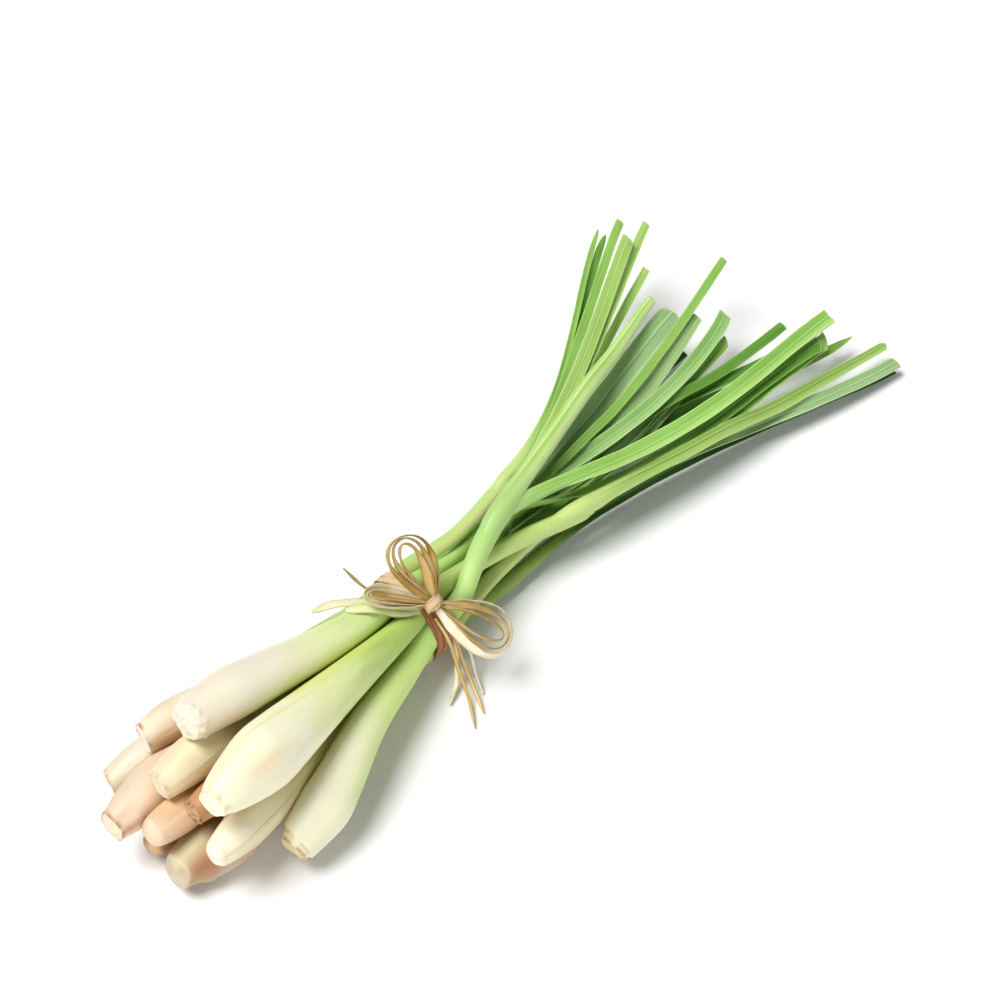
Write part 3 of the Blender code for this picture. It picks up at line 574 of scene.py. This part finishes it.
# How each kind of cut end closes: steps inward from the rim, as (part of the radius, height above the cut)
endShapes = {
    "cut": [(0.985, -0.12), (0.95, -0.1), (0.9, 0.25), (0.85, 0.1), (0.7, 0), (0.66, 0.3), (0.62, 0.1),
            (0.45, 0), (0.4, 0.2), (0.3, 0.1), (0.15, 0.15)],
    "facet": [(0.985, -0.12), (0.95, -0.15), (0.9, 0.1), (0.8, 0.12), (0.64, 0.1), (0.6, 0.2), (0.55, 0.1),
              (0.35, 0.05), (0.15, 0.05)],
    "collar": [(0.985, -0.1), (0.94, -0.05), (0.88, 0.5), (0.8, 0.2), (0.6, 0), (0.55, 0.4), (0.5, 0.1),
               (0.3, 0), (0.15, 0.2)],
    "knobbly": [(0.985, -0.4), (0.94, -1), (0.87, -1.5), (0.79, -1.8), (0.7, -2), (0.6, -2.15),
                (0.48, -2.25), (0.36, -2.3), (0.22, -2.3)],
    "rounded": [(0.98, -0.6), (0.93, -1.3), (0.85, -2), (0.74, -2.7), (0.6, -3.3), (0.42, -3.7),
                (0.22, -3.9)],
    "tongue": [(0.98, -0.4), (0.93, -0.8), (0.84, -1.1), (0.7, -1.3), (0.52, -1.4), (0.34, -1.45),
               (0.17, -1.45)],
    "spiral": [(0.97, -0.05), (0.92, -0.1), (0.87, 0.7), (0.78, 1), (0.66, 0.3), (0.56, 0.2), (0.48, 0.9),
               (0.36, 1), (0.18, 0.3)],
}
flatEnds = ("cut", "facet", "collar", "spiral")
spiralShade = (0, 0.2, 0.9, 0.3, 0.1, 0.8, 0.9, 0.2, 0.1)      # how brown its steps are, from the middle


def stalkMaterial(name, look):
    material, tree, shader = newMaterial(name)
    place = readTrait(tree, "place", True)
    along = readTrait(tree, "along")
    edge = readTrait(tree, "edge")
    lines = useGroup(fibreLines, Place=place, Fineness=1.6, Length=0.02)
    fine = useGroup(fibreLines, Place=place, Fineness=5, Length=0.05)
    wide = useGroup(patches, Place=place, Size=7, Amount=0.5, Softness=0.2)
    # the green runs down the stalk in streaks
    streak = times(minus(lines, 0.5), stem["streaks"])
    drift = times(minus(wide, 0.5), stem["drifts"])
    reach = calc("DIVIDE", plus(along, plus(streak, drift)), stem["colourReach"])
    ramp = addNode("ShaderNodeValToRGB", Fac=reach)
    stops = ramp.color_ramp.elements
    stops.remove(stops[-1])
    first, *others = look["colours"].split()
    stops[0].color = colour(first)
    for spot, code in zip(stem["colourStops"], others):
        stops.new(spot).color = colour(code)
    blushCode, blushAmount = look["blush"]
    blush = useGroup(patches, Place=place, Size=12, Amount=0.48, Softness=0.16)
    blush = times(blush, remap(along, *stem["blushEnds"]))
    base = paint(ramp.outputs[0], times(blush, blushAmount), blushCode)
    uneven = remap(plus(wide, lines), 0, 2, 0.72, 1)
    # each mark is a real stain or, on stalk_02 and stalk_04, painted shade
    for letter, stain in zip("ABC", look["stains"]):
        code, amount = stain[4:]
        spread = times(readTrait(tree, "stain" + letter), uneven)
        base = paint(base, times(spread, amount), code)
    base = paint(base, times(fine, 0.07), "9a9a52", "MULTIPLY")
    band = times(remap(edge, 2.6, 0.2), remap(edge, -0.2, 0.1))
    cut, rim, edgeTint = look["tints"].split()
    base = paint(base, times(band, remap(lines, 0, 1, 0.2, 0.6)), edgeTint)
    base = paint(base, readTrait(tree, "cut"), cut)
    patchy = useGroup(patches, Place=place, Size=5, Amount=0.5, Softness=0.3)
    worn = times(readTrait(tree, "rim"), remap(patchy, 0.2, 0.8, 0.15, 1))
    base = paint(base, worn, rim)
    grain = plus(times(lines, 0.6), times(fine, 0.4))
    finishMaterial(shader, base, (fine, 0.36, 0.5), (0.15, (1, 0.75, 0.4), 2), (grain, 0.1, 0.45))
    return material


# Steps along a stalk, from fine at the base to coarser further up
def stalkSteps(length):
    steps = [0]
    while steps[-1] < length - 1:
        grow = min(1, steps[-1] / stem["fineLength"])
        steps.append(steps[-1] + stem["firstStep"] * (1 - grow) + stem["lastStep"] * grow)
    return np.array(steps[:-1] + [length])


# A stalk's middle line and radius from its packed rings
def stalkLine(name):
    rings = packedRows(name)
    middles = np.array([ring.mean(axis=0) for ring in rings])
    radii = np.array([np.linalg.norm(ring - middle, axis=1).mean() for ring, middle in zip(rings, middles)])
    dense = np.linspace(0, 1, 400)
    path = between(middles, dense)
    return path, between(radii, dense), lengthsAlong(path)


stalkLines = {name: stalkLine(name) for name in stalks}


# A stalk's middle and radius at x, carried on straight past its top
def stalkAt(name, x):
    path, radii = stalkLines[name][:2]
    slope = np.gradient(path, path[:, 0], axis=0)[-1]
    beyond = np.maximum(np.asarray(x) - path[-1, 0], 0)[..., None]
    return readAt(x, path[:, 0], path) + beyond * slope, np.interp(x, path[:, 0], radii)


# Degrees from the centre to an angle in radians, the short way round
def degreesFrom(angle, centre):
    return np.degrees(np.angle(np.exp(1j * (angle - math.radians(centre)))))


# 1 at the centre and less on both sides of it
def nearAngle(angle, centre, half):
    return np.exp(-(degreesFrom(angle, centre) / half) ** 2)


# Where the columns lie round a stalk, in degrees from its sheath's free edge and closest together beside it
besideEdge = np.array([0.5, 1.8, 4])
turnedBy = np.concatenate([besideEdge, np.linspace(8, 352, stem["columns"] - 6), 360 - besideEdge[::-1]])


def makeStalk(name, look, order):
    look = plainStalk | look
    flatEnd = look["end"] in flatEnds
    path, radii, lengths = stalkLines[name]
    steps = stalkSteps(lengths[-1])
    far = steps[:, None]
    middle = readAt(steps, lengths, path)
    heading = unit(readAt(steps, lengths, np.gradient(path, axis=0)))
    level = unit(np.array([0, 1, 0]) - heading[:, 1:2] * heading)
    rise = np.cross(heading, level)
    top = ease(steps, lengths[-1] - stem["topLength"], lengths[-1])
    taper, taperReach = look["taper"]
    radius = np.interp(steps, lengths, radii) * stem["fill"] * (1 - stem["topShrink"] * top)
    radius *= 1 - taper * (1 - ease(steps, 0, taperReach))
    if not flatEnd:
        radius *= 1 - 0.06 * np.exp(-steps / 1.5)

    edgeStart, edgeEnd = look["edge"]
    edgeAngle = edgeStart + (edgeEnd - edgeStart) * ease(steps, 0, stem["edgeReach"])
    edgeAngle += stem["edgeSway"] * np.sin(steps * 0.06 + order) * ease(steps, 0, 30)
    angle = np.radians(edgeAngle[:, None] + turnedBy)
    step = look["step"] * ease(steps, 3, 16) * (1 - 0.4 * ease(steps, 60, 120)) * (1 - top)
    around = radius[:, None] + step[:, None] * (0.5 - turnedBy / 360)
    # real stalks are a little out of round
    around *= 1 + stem["outOfRound"] * np.sin(2 * angle + order) * ease(far, 4, 25)
    around += stem["ripples"] * np.sin(3 * angle + far * 0.05 + 2 * order)
    around += stem["cutRipples"] * np.sin(4 * angle + 1.7 * order) * np.exp(-far / 2.5)
    for at, spot in look["knobs"]:
        around += stem["knobHeight"] * nearAngle(angle, at, stem["knobHalf"]) * np.exp(-(far - spot) ** 2)
    for at, half, begin, finish, height in look["bulges"]:
        swell = ease(far, begin, begin + 6) * (1 - ease(far, 0.5 * (begin + finish), finish))
        around += height * nearAngle(angle, at, half) * swell

    # an outer sheath ends in a rounded front, and the next one comes out of it
    front = np.zeros_like(around)
    if "collar" in look:
        collar = look["collar"]
        begin = collar["start"] + 12 * (degreesFrom(angle, collar["at"]) / collar["spread"]) ** 2
        begin += 0.2 * np.sin(angle * 3 + order)
        around += collar["height"] * (ease(far - begin, 0, 1) - 0.6) * (1 - ease(far, 26, 70))
        front = np.exp(-((far - begin - 0.2) / 0.5) ** 2)

    tilt, tiltAngle = look["tilt"]
    lean = -tilt * np.cos(angle - math.radians(tiltAngle)) * around
    lean += 0.14 * np.sin(angle * 3 + order * 2.1) + 0.05 * np.sin(angle * 7 + order)
    if look["end"] == "tongue":
        lean += 0.9 * nearAngle(angle, 165, 30) - 0.6 * nearAngle(angle, 85, 40)
    shift = lean * (1 - ease(far, 0, stem["tiltReach"]))

    # the rings of the cut face come before the stalk's own
    parts, heights = np.array(endShapes[look["end"]][::-1]).T[..., None]
    close = len(parts)
    lumps = look["lumps"] * parts * (np.sin(3 * angle[0] + 14 * parts) + np.cos(5 * angle[0] - 9 * parts))
    ringOf = np.concatenate([np.zeros(close, int), np.arange(len(steps))])
    shrink = np.concatenate([parts, np.ones_like(far)])
    angle = angle[ringOf]
    around = around[ringOf] * shrink
    shift = np.concatenate([lean[0] * parts + heights + lumps, shift])
    rings = (middle[ringOf, None] + level[ringOf, None] * (np.cos(angle) * around)[..., None]
             + rise[ringOf, None] * (np.sin(angle) * around)[..., None]
             + heading[ringOf, None] * shift[..., None])
    rings[close:, :, 2] = np.maximum(rings[close:, :, 2], stem["lowest"])

    along = steps[ringOf, None] * np.ones_like(turnedBy)
    isCut = np.arange(len(ringOf)) < close
    rim = np.exp(-(along / 0.95) ** 2) * (1 if flatEnd else 0.3)
    rim[:close - 2] = 0
    rim[close:] = np.maximum(rim[close:], 0.5 * front)
    if look["end"] == "spiral":
        shade = np.array(spiralShade)[:, None]
        rim[:close] = np.maximum(rim[:close], shade * (0.4 + 0.6 * np.cos(angle[0] - 2) ** 2))
    turn = np.radians(turnedBy)
    place = [10 * np.cos(turn) * shrink, 10 * np.sin(turn) + 40 * order, along]
    size = radius[ringOf, None]
    size[:close] = around[close].mean()
    edge = np.clip(np.radians(np.where(turnedBy < 180, turnedBy, turnedBy - 360)) * size, -8, 8)
    cut = isCut[:, None] * np.full_like(along, 1 if flatEnd else 0.35)
    place = np.stack(np.broadcast_arrays(*place), axis=-1)
    traits = dict(place=place, along=along, edge=edge, cut=cut, rim=np.clip(rim, 0, 1))
    # marks are real stains and, on some stalks, painted shade round one side
    for letter, stain in zip("ABC", look["stains"]):
        centre, half, begin, finish = stain[:4]
        lengthwise = ease(along, begin - 6, begin + 5) * (1 - ease(along, finish - 9, finish + 9))
        traits["stain" + letter] = nearAngle(angle, centre, half) * lengthwise
    ends = np.array([rings[0].mean(axis=0), rings[-1].mean(axis=0) + heading[-1] * 1.2])
    piece = skin(name + "_sheaths", rings, traits, stalkMaterial(name, look), ends=ends)
    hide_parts(name)


for order, (name, look) in enumerate(stalks.items()):
    makeStalk(name, look, order + 1)
print("stalks made")


# Blade finishes: main colour, patches, veins and pale parts, then the side, colour and strength of a painted
# highlight on one half
leafKinds = {
    "soft": ("aed76a", "c0e484", "8ebb50", "eaf5bc", -1, "eef8c0", 0.85),
    "lime": ("96c150", "abd264", "72a038", "eaf4c8", 1, "c2e47e", 0.5),
    "fresh": ("84b64a", "98c75e", "5f9432", "cae290", 1, "a8d76e", 0.5),
    "mint": ("86b85e", "9cca76", "649844", "d8ecb4", -1, "bce094", 0.6),
    "ash": ("93b76c", "a6c682", "70944e", "c8dca6", 1, "b4d092", 0.55),
    "sage": ("8ab06e", "9abe80", "6b9058", "d2e4c0", -1, "b2d29a", 0.5),
    "deep": ("548e22", "70a63a", "386e12", "a6cc74", 1, "84b84a", 0.5),
    "bright": ("8abf4e", "9ed064", "659e36", "d6eca0", -1, "c4e88c", 0.7),
    "olive": ("7ca442", "90b856", "5f8434", "d4de8e", -1, "bcdc80", 0.8),
    # a near-black green for hidden blades, which is painted shade in the gaps between the leaves
    "paintedShade": ("2e5a14", "3f6e20", "1c400a", "6f9c46", 1, "56882c", 0.4),
}

# What a blade has unless its row says otherwise: it starts this far back on its stalk and opens out this far
# past its root, widen and tipWidth widen it along its length and at the tip, and bulge rounds the cut tip
plainBlade = dict(back=12, widen=1, widenBy=0.2, tipWidth=1, fold=1.25, wave=0.16, bulge=0.25, opening=48)

# Each blade: the angle that its sheath wraps from and half of what it covers. From point on it narrows to a
# tip, and roll turns its edges under (1 is a circle).
blades = {
    # these four dark blades, most of them widened, fill the gaps deep in the fan with painted shade
    "08a": dict(kind="paintedShade", wrap=(300, 100), back=10, widen=1.6, widenBy=0.04, opening=2),
    "10a": dict(kind="paintedShade", wrap=(120, 120), widen=0.8),
    "09a": dict(kind="paintedShade", wrap=(270, 100), back=10, widen=1.9, widenBy=0.04, opening=2),
    "03a": dict(kind="paintedShade", wrap=(270, 90), back=10, widen=1.4),
    "03b": dict(kind="deep", wrap=(90, 100)),
    "07a": dict(kind="ash", wrap=(270, 80), back=14),
    "07b": dict(kind="fresh", wrap=(160, 70), back=10, point=0.86, width=4.6),
    "07c": dict(kind="fresh", wrap=(70, 80)),
    "11a": dict(kind="sage", wrap=(110, 125)),
    "06a": dict(kind="ash", wrap=(270, 80), back=8),
    "06b": dict(kind="deep", wrap=(170, 70), back=10),
    "06c": dict(kind="ash", wrap=(70, 80)),
    "01a": dict(kind="fresh", wrap=(190, 90), wave=0.9, fold=1.6),
    "01b": dict(kind="mint", wrap=(60, 95)),
    "05a": dict(kind="deep", wrap=(260, 95)),
    "05b": dict(kind="olive", wrap=(100, 104), back=22, widen=0.96, tipWidth=0.66, bulge=0.9),
    "04a": dict(kind="sage", wrap=(60, 110), bulge=0.5),
    "04b": dict(kind="fresh", wrap=(180, 80)),
    "02a": dict(kind="lime", wrap=(160, 95), back=20),
    "02b": dict(kind="lime", wrap=(150, 60), back=8, point=0.8, width=4.5),
    "02c": dict(kind="deep", wrap=(60, 80), point=0.9, width=3.8),
    "02d": dict(kind="fresh", wrap=(110, 80), point=0.86, width=3),
    "12a": dict(kind="deep", wrap=(215, 75), back=14),
    "12b": dict(kind="bright", wrap=(180, 95), back=17, fold=1.4),
    "12c": dict(kind="fresh", wrap=(20, 65)),
    "12d": dict(kind="lime", wrap=(45, 65), back=11, widen=1.1),
    "12e": dict(kind="lime", wrap=(70, 70), back=10),
    "12f": dict(kind="soft", wrap=(80, 110), back=22, roll=0.62, widen=1.35, tipWidth=0.85, bulge=0.4),
}
blade = dict(
    rows=70, sheathRows=18, lowest=0.3, layerRise=1.3, sheathStep=0.07, sunk=0.6, clear=0.06, slant=9,
    thickness=0.42, thinner=0.16, sheathThickness=0.5,      # thinner at its edges and in the sheath
    rollFlatness=0.85, rollRise=1.2, roundness=0.012,
)
halfAcross = np.array([0.08, 0.25, 0.45, 0.65, 0.85, 0.97, 1])
acrossBlade = np.concatenate([-halfAcross[::-1], [0], halfAcross])
foldShape = np.sqrt(acrossBlade ** 2 + blade["roundness"]) - math.sqrt(blade["roundness"])
foldShape = np.abs(acrossBlade) * 0.4 + 0.6 * foldShape / foldShape.max()     # rounded at the midrib


def leafMaterial(name, kind, sheathCode):
    material, tree, shader = newMaterial(name)
    place = readTrait(tree, "place", True)
    across = readTrait(tree, "across")
    veins = useGroup(fibreLines, Place=place, Fineness=3.2, Length=0.012)
    fine = useGroup(fibreLines, Place=place, Fineness=9, Length=0.02)
    wide = useGroup(patches, Place=place, Size=16, Amount=0.5, Softness=0.2)
    main, patched, vein, pale, side, paintedHighlight, strength = leafKinds[kind]
    base = paint(colour(main), wide, patched)
    # a painted highlight lightens one half of the blade, as light from one side would
    base = paint(base, remap(times(across, side), -0.05, 0.75, 0, strength), paintedHighlight)
    base = paint(base, times(veins, 0.5), vein)
    base = paint(base, times(fine, 0.12), pale)
    # a pale midrib, lightened further as a painted highlight beside the fold, with painted shade along the
    # crease
    midribAndHighlight = remap(calc("ABSOLUTE", minus(across, 0.1)), 0.14, 0.03, 0, 0.4)
    base = paint(base, midribAndHighlight, pale)
    crease = remap(calc("ABSOLUTE", plus(across, 0.06)), 0.12, 0.02, 0, 0.55)
    base = paint(base, crease, vein)
    rim = useGroup(edgeBands, Across=across, Place=place, Width=0.07, Wander=0.08)
    base = paint(base, times(rim, 0.6), pale)
    sheath = plus(readTrait(tree, "along"), times(veins, 12))
    base = paint(base, remap(sheath, 58, 22), sheathCode)
    dried = times(remap(readTrait(tree, "tip"), 1.1, 0.15), 0.5)
    base = paint(base, dried, "bfc98a")
    grain = plus(times(veins, 0.7), times(fine, 0.3))
    finishMaterial(shader, base, (veins, 0.4, 0.54), (0.12, (0.5, 1, 0.2), 1.2), (grain, 0.08, 0.7))
    return material


leafMaterials = {}


# A blade goes on in the colour of its stalk's top before it turns into its own
def leafMaterialFor(kind, stalk):
    key = f"leaf_{kind}_{stalk[-2:]}"
    if key not in leafMaterials:
        leafMaterials[key] = leafMaterial(key, kind, stalks[stalk]["colours"].split()[-1])
    return leafMaterials[key]


def makeBlade(name, look, order):
    look = plainBlade | look
    stalk = "stalk_" + name[5:7]
    family = [other for other in blades if other[:2] == name[5:7]]
    member = family.index(name[5:])
    rise = np.array([0, 0, (member - (len(family) - 1) / 2) * blade["layerRise"]])
    rows = [corners[np.argsort(corners[:, 1])].reshape(3, 2, 3).mean(axis=1) for corners in packedRows(name)]
    rows = np.array(rows)       # the left edge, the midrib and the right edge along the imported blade
    root, rootX, tipX = rows[0, 1], rows[0, 1, 0], rows[-1, 1, 0]
    startX = stalkLines[stalk][0][-1, 0] - look["back"]
    sheathXs = np.linspace(startX, rootX, blade["sheathRows"])[:-1]
    xs = np.concatenate([sheathXs, np.linspace(rootX, tipX, blade["rows"])])
    t = np.clip((xs - rootX) / (tipX - rootX), 0, 1)
    flat = between(rows, t)
    centre, radius = stalkAt(stalk, xs)
    gap = root - rise - stalkAt(stalk, rootX)[0]
    middleBefore = centre + rise + gap * ease(xs, startX, rootX)[:, None]
    before = xs < rootX
    flat[before] = middleBefore[before, None] + (rows[0] - root)

    u = acrossBlade
    left, middle, right = flat[:, 0], flat[:, 1], flat[:, 2]
    even = (right - left) / 2
    if "point" in look:
        tip = np.clip((t - look["point"]) / (1 - look["point"]), 0, 1)
        wanted = 0.5 * look["width"] * (0.62 + 0.38 * np.clip(t / 0.25, 0, 1)) * np.sqrt(1 - 0.97 * tip ** 2)
        even = unit(even) * wanted[:, None]
    wider = look["widen"] + (look["tipWidth"] - look["widen"]) * ease(t, 0.55, 1)
    even = even * (1 + (wider - 1) * ease(t, 0, look["widenBy"]))[:, None]
    halfWidth = np.linalg.norm(even, axis=1)[:, None]
    fold = ((right + left) / 2 - middle) * (look["fold"] * (1 - 0.8 * ease(t, 0.8, 1)))[:, None]
    grid = middle[:, None] + even[:, None] * u[:, None] + fold[:, None] * foldShape[:, None]
    if "roll" in look:
        bend = look["roll"] * math.pi
        size = halfWidth / math.sin(min(bend, math.pi / 2)) * 1.05
        drop = (np.cos(u * bend) - 1) * size * blade["rollFlatness"] + blade["rollRise"]
        grid = middle[:, None] + np.stack([np.zeros_like(drop), np.sin(u * bend) * size, drop], axis=-1)
    grid[..., 0] += (look["bulge"] * ease(t, 0.93, 1))[:, None] * (1 - u ** 2) * halfWidth
    ripple = look["wave"] * (np.sin(xs * 0.21 + order) + 0.4 * np.sin(xs * 0.53 + 2 * order))
    grid[..., 2] += (ripple * ease(xs, rootX + 25, rootX + 60) * (1 - 0.5 * t))[:, None] * u * np.abs(u)

    # the sheath comes up out of the stalk at a slant, wraps it and opens into the flat blade
    wrapAt, wrapHalf = look["wrap"]
    below = 180 < wrapAt < 360
    turn = np.radians(wrapAt + wrapHalf * u * (1 if below else -1))
    slant = blade["slant"] * (0.5 + 0.5 * u * (1 if order % 2 else -1))
    emerged = ease(xs[:, None] - startX - slant, 0, 12)
    sunk = blade["sunk"]
    clear = -sunk + (sunk + blade["clear"] + blade["sheathStep"] * member) * emerged
    wrapped = (middle - rise)[:, None] + (radius[:, None] + clear)[..., None] * outward(turn)
    opened = ease(xs, rootX - 12, rootX + look["opening"])[:, None, None]
    grid = wrapped * (1 - opened) + grid * opened
    grid[..., 2] = np.maximum(grid[..., 2], blade["lowest"])

    along = (xs - startX)[:, None] * np.ones_like(u)
    place = np.stack([u * halfWidth, np.full(along.shape, 9 * order), along], axis=-1)
    across = np.tile(u, (len(xs), 1))
    traits = dict(across=across, along=along, place=place, tip=grid[-1:, :, 0] - grid[..., 0])
    sheathPart = blade["sheathThickness"] * (1 - ease(xs, rootX, rootX + 20))[:, None]
    thickness = (blade["thickness"] - blade["thinner"] * u ** 2) * (1 - sheathPart)
    piece = strip(name + "_blade", grid, thickness, traits, leafMaterialFor(look["kind"], stalk))
    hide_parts(name)


for order, (name, look) in enumerate(blades.items()):
    makeBlade("leaf_" + name, look, order + 1)
print("leaf blades made")


# The strands of raffia round the waist: x along the bunch from its middle, and lean takes a strand across
wraps = {
    "raffia_turn_1": [dict(x=-3, lean=0.8, width=3.4, out=0), dict(x=-1, lean=-0.9, width=3.6, out=0.3)],
    "raffia_turn_2": [dict(x=1.8, lean=-0.7, width=4.6, out=0), dict(x=3.4, lean=0.6, width=2.6, out=0.3),
                      dict(x=0.4, lean=1, width=2.6, out=0.6)],
}
wrap = dict(rows=150, ends=0.02, overNecks=0.45, smoothed=17, sway=0.25, widthSway=0.12, twist=5,
            curl=0.06, crease=0.05, lowest=0.9)


# The tight outline round the necks at the waist, as distances and slopes for each direction
def waistOutline(angles):
    out = np.full(len(angles), -1e9)
    for name in stalks:
        middle, radius = stalkAt(name, waist[0])
        reach = (middle[1] - waist[1]) * np.cos(angles) + (middle[2] - waist[2]) * np.sin(angles) + radius
        out = np.maximum(out, reach)
    window = np.hanning(wrap["smoothed"])
    side = len(window) // 2
    padded = np.concatenate([out[-side:], out, out[:side]])
    smooth = np.convolve(padded, window / window.sum(), mode="valid") + wrap["overNecks"]
    slope = np.gradient(np.concatenate([smooth[-1:], smooth, smooth[:1]]), angles[1] - angles[0])[1:-1]
    return smooth, slope


def makeWraps():
    angles = np.linspace(0, 2 * math.pi, 240, endpoint=False)
    out, slope = waistOutline(angles)
    start = math.pi - knotLean
    sweep = start + np.linspace(wrap["ends"], 2 * math.pi - wrap["ends"], wrap["rows"])
    outlineOut = np.interp(sweep, angles, out, period=2 * math.pi)
    outlineSlope = np.interp(sweep, angles, slope, period=2 * math.pi)
    for turnName, strands in wraps.items():
        for order, strand in enumerate(strands):
            path = waist + outward(sweep) * (outlineOut + strand["out"])[:, None]
            path += outward(sweep + math.pi / 2) * outlineSlope[:, None]
            path[:, 0] += strand["x"] + strand["lean"] * np.sin(sweep - start)
            path[:, 0] += wrap["sway"] * np.sin(3 * sweep + order)
            path[:, 2] = np.maximum(path[:, 2], wrap["lowest"])
            width = strand["width"] * (1 + wrap["widthSway"] * np.sin(2.3 * sweep + order))
            twist = wrap["twist"] * np.sin(sweep * 1.5 + order)
            # the wrap strands are darkened partly with painted shade
            piece = ribbon(f"{turnName}_strand_{order + 1}", path, alongBunch, width, "rustAndShade", twist,
                           order + strand["x"], curl=wrap["curl"], crease=wrap["crease"])
            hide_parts(turnName)


knotShape = dict(core=(3.4, 3, 2.7), coreRings=26, coreColumns=40, folds=0.06, fineFolds=0.04,
                 bandReach=4, bandHeight=3.5, bandSlant=0.5, bandWidth=3.7, bandPinch=0.8, bandRows=60)


def makeKnot():
    rise = np.linspace(0.08, math.pi - 0.08, knotShape["coreRings"])[:, None]
    turn = np.linspace(0, 2 * math.pi, knotShape["coreColumns"], endpoint=False)
    folds = 1 + knotShape["folds"] * np.sin(turn * 7 + 3 * np.cos(rise))
    folds += knotShape["fineFolds"] * np.sin(turn * 13)
    ball = np.stack([np.sin(rise) * np.cos(turn) * folds, np.sin(rise) * np.sin(turn) * folds,
                     np.cos(rise) * np.ones_like(turn)], axis=-1) * np.array(knotShape["core"])
    pole = knotShape["core"][2] * knotFrame[2]
    traits = dict(place=ball[..., [0, 2, 1]], across=np.zeros(ball.shape[:2]))
    rings = knot + ball @ knotFrame
    ends = np.array([knot - pole, knot + pole])
    core = skin("raffia_knot_core", rings[::-1], traits, raffiaMaterials["tan"], ends=ends)
    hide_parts("raffia_knot")
    t = np.linspace(-0.62, 1.62, knotShape["bandRows"]) * math.pi
    path = np.stack([np.cos(t) * knotShape["bandReach"], knotShape["bandSlant"] * np.sin(t),
                     np.sin(t) * knotShape["bandHeight"]], axis=1) @ knotFrame + knot
    width = knotShape["bandWidth"] - knotShape["bandPinch"] * np.sin(t) ** 2
    band = ribbon("raffia_knot_band", path, knotFrame[1] + 0.15 * knotFrame[0], width, "knot",
                  np.zeros(len(t)), 4, curl=-0.12, crease=0.1)
    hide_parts("raffia_knot")


makeWraps()
makeKnot()
print("wraps and knot made")


# Two wide soft lamps: one high behind the bunch, and one low in front that fills in what faces the viewer
studio = dict(
    floor="f4f4f4", floorSize=12000,
    key=dict(comesFrom=(-0.64, 0.56, 1.9), spread=34, strength=3.48),
    fill=dict(comesFrom=(-0.9, -1.5, 0.6), spread=39, strength=1.3),
    world=0.1, worldTint="fbfcff",
)


def makeStudio():
    half = studio["floorSize"] / 2 * mm
    mesh = bpy.data.meshes.new("floor")
    corners = [(-half, -half, 0), (half, -half, 0), (half, half, 0), (-half, half, 0)]
    mesh.from_pydata(corners, [], [(0, 1, 2, 3)])
    material, _, shader = newMaterial("floor_white")
    shader["Base Color"].default_value = colour(studio["floor"])
    shader["Roughness"].default_value = 0.9
    shader["Specular IOR Level"].default_value = 0
    mesh.materials.append(material)
    floor = addObject("floor", mesh)
    for name in ("key", "fill"):
        lamp = bpy.data.lights.new(name, "SUN")
        lamp.angle = math.radians(studio[name]["spread"])
        lamp.energy = studio[name]["strength"]
        holder = addObject(name, lamp)
        holder.location = Vector(studio[name]["comesFrom"])
        holder.rotation_euler = holder.location.to_track_quat("Z", "Y").to_euler()
    world = bpy.data.worlds.new("studio")
    world.use_nodes = True
    background = world.node_tree.nodes["Background"].inputs
    background["Color"].default_value = colour(studio["worldTint"])
    background["Strength"].default_value = studio["world"]
    bpy.context.scene.world = world
    bpy.context.scene.view_settings.view_transform = "Standard"


makeStudio()
print("floor and lights made")
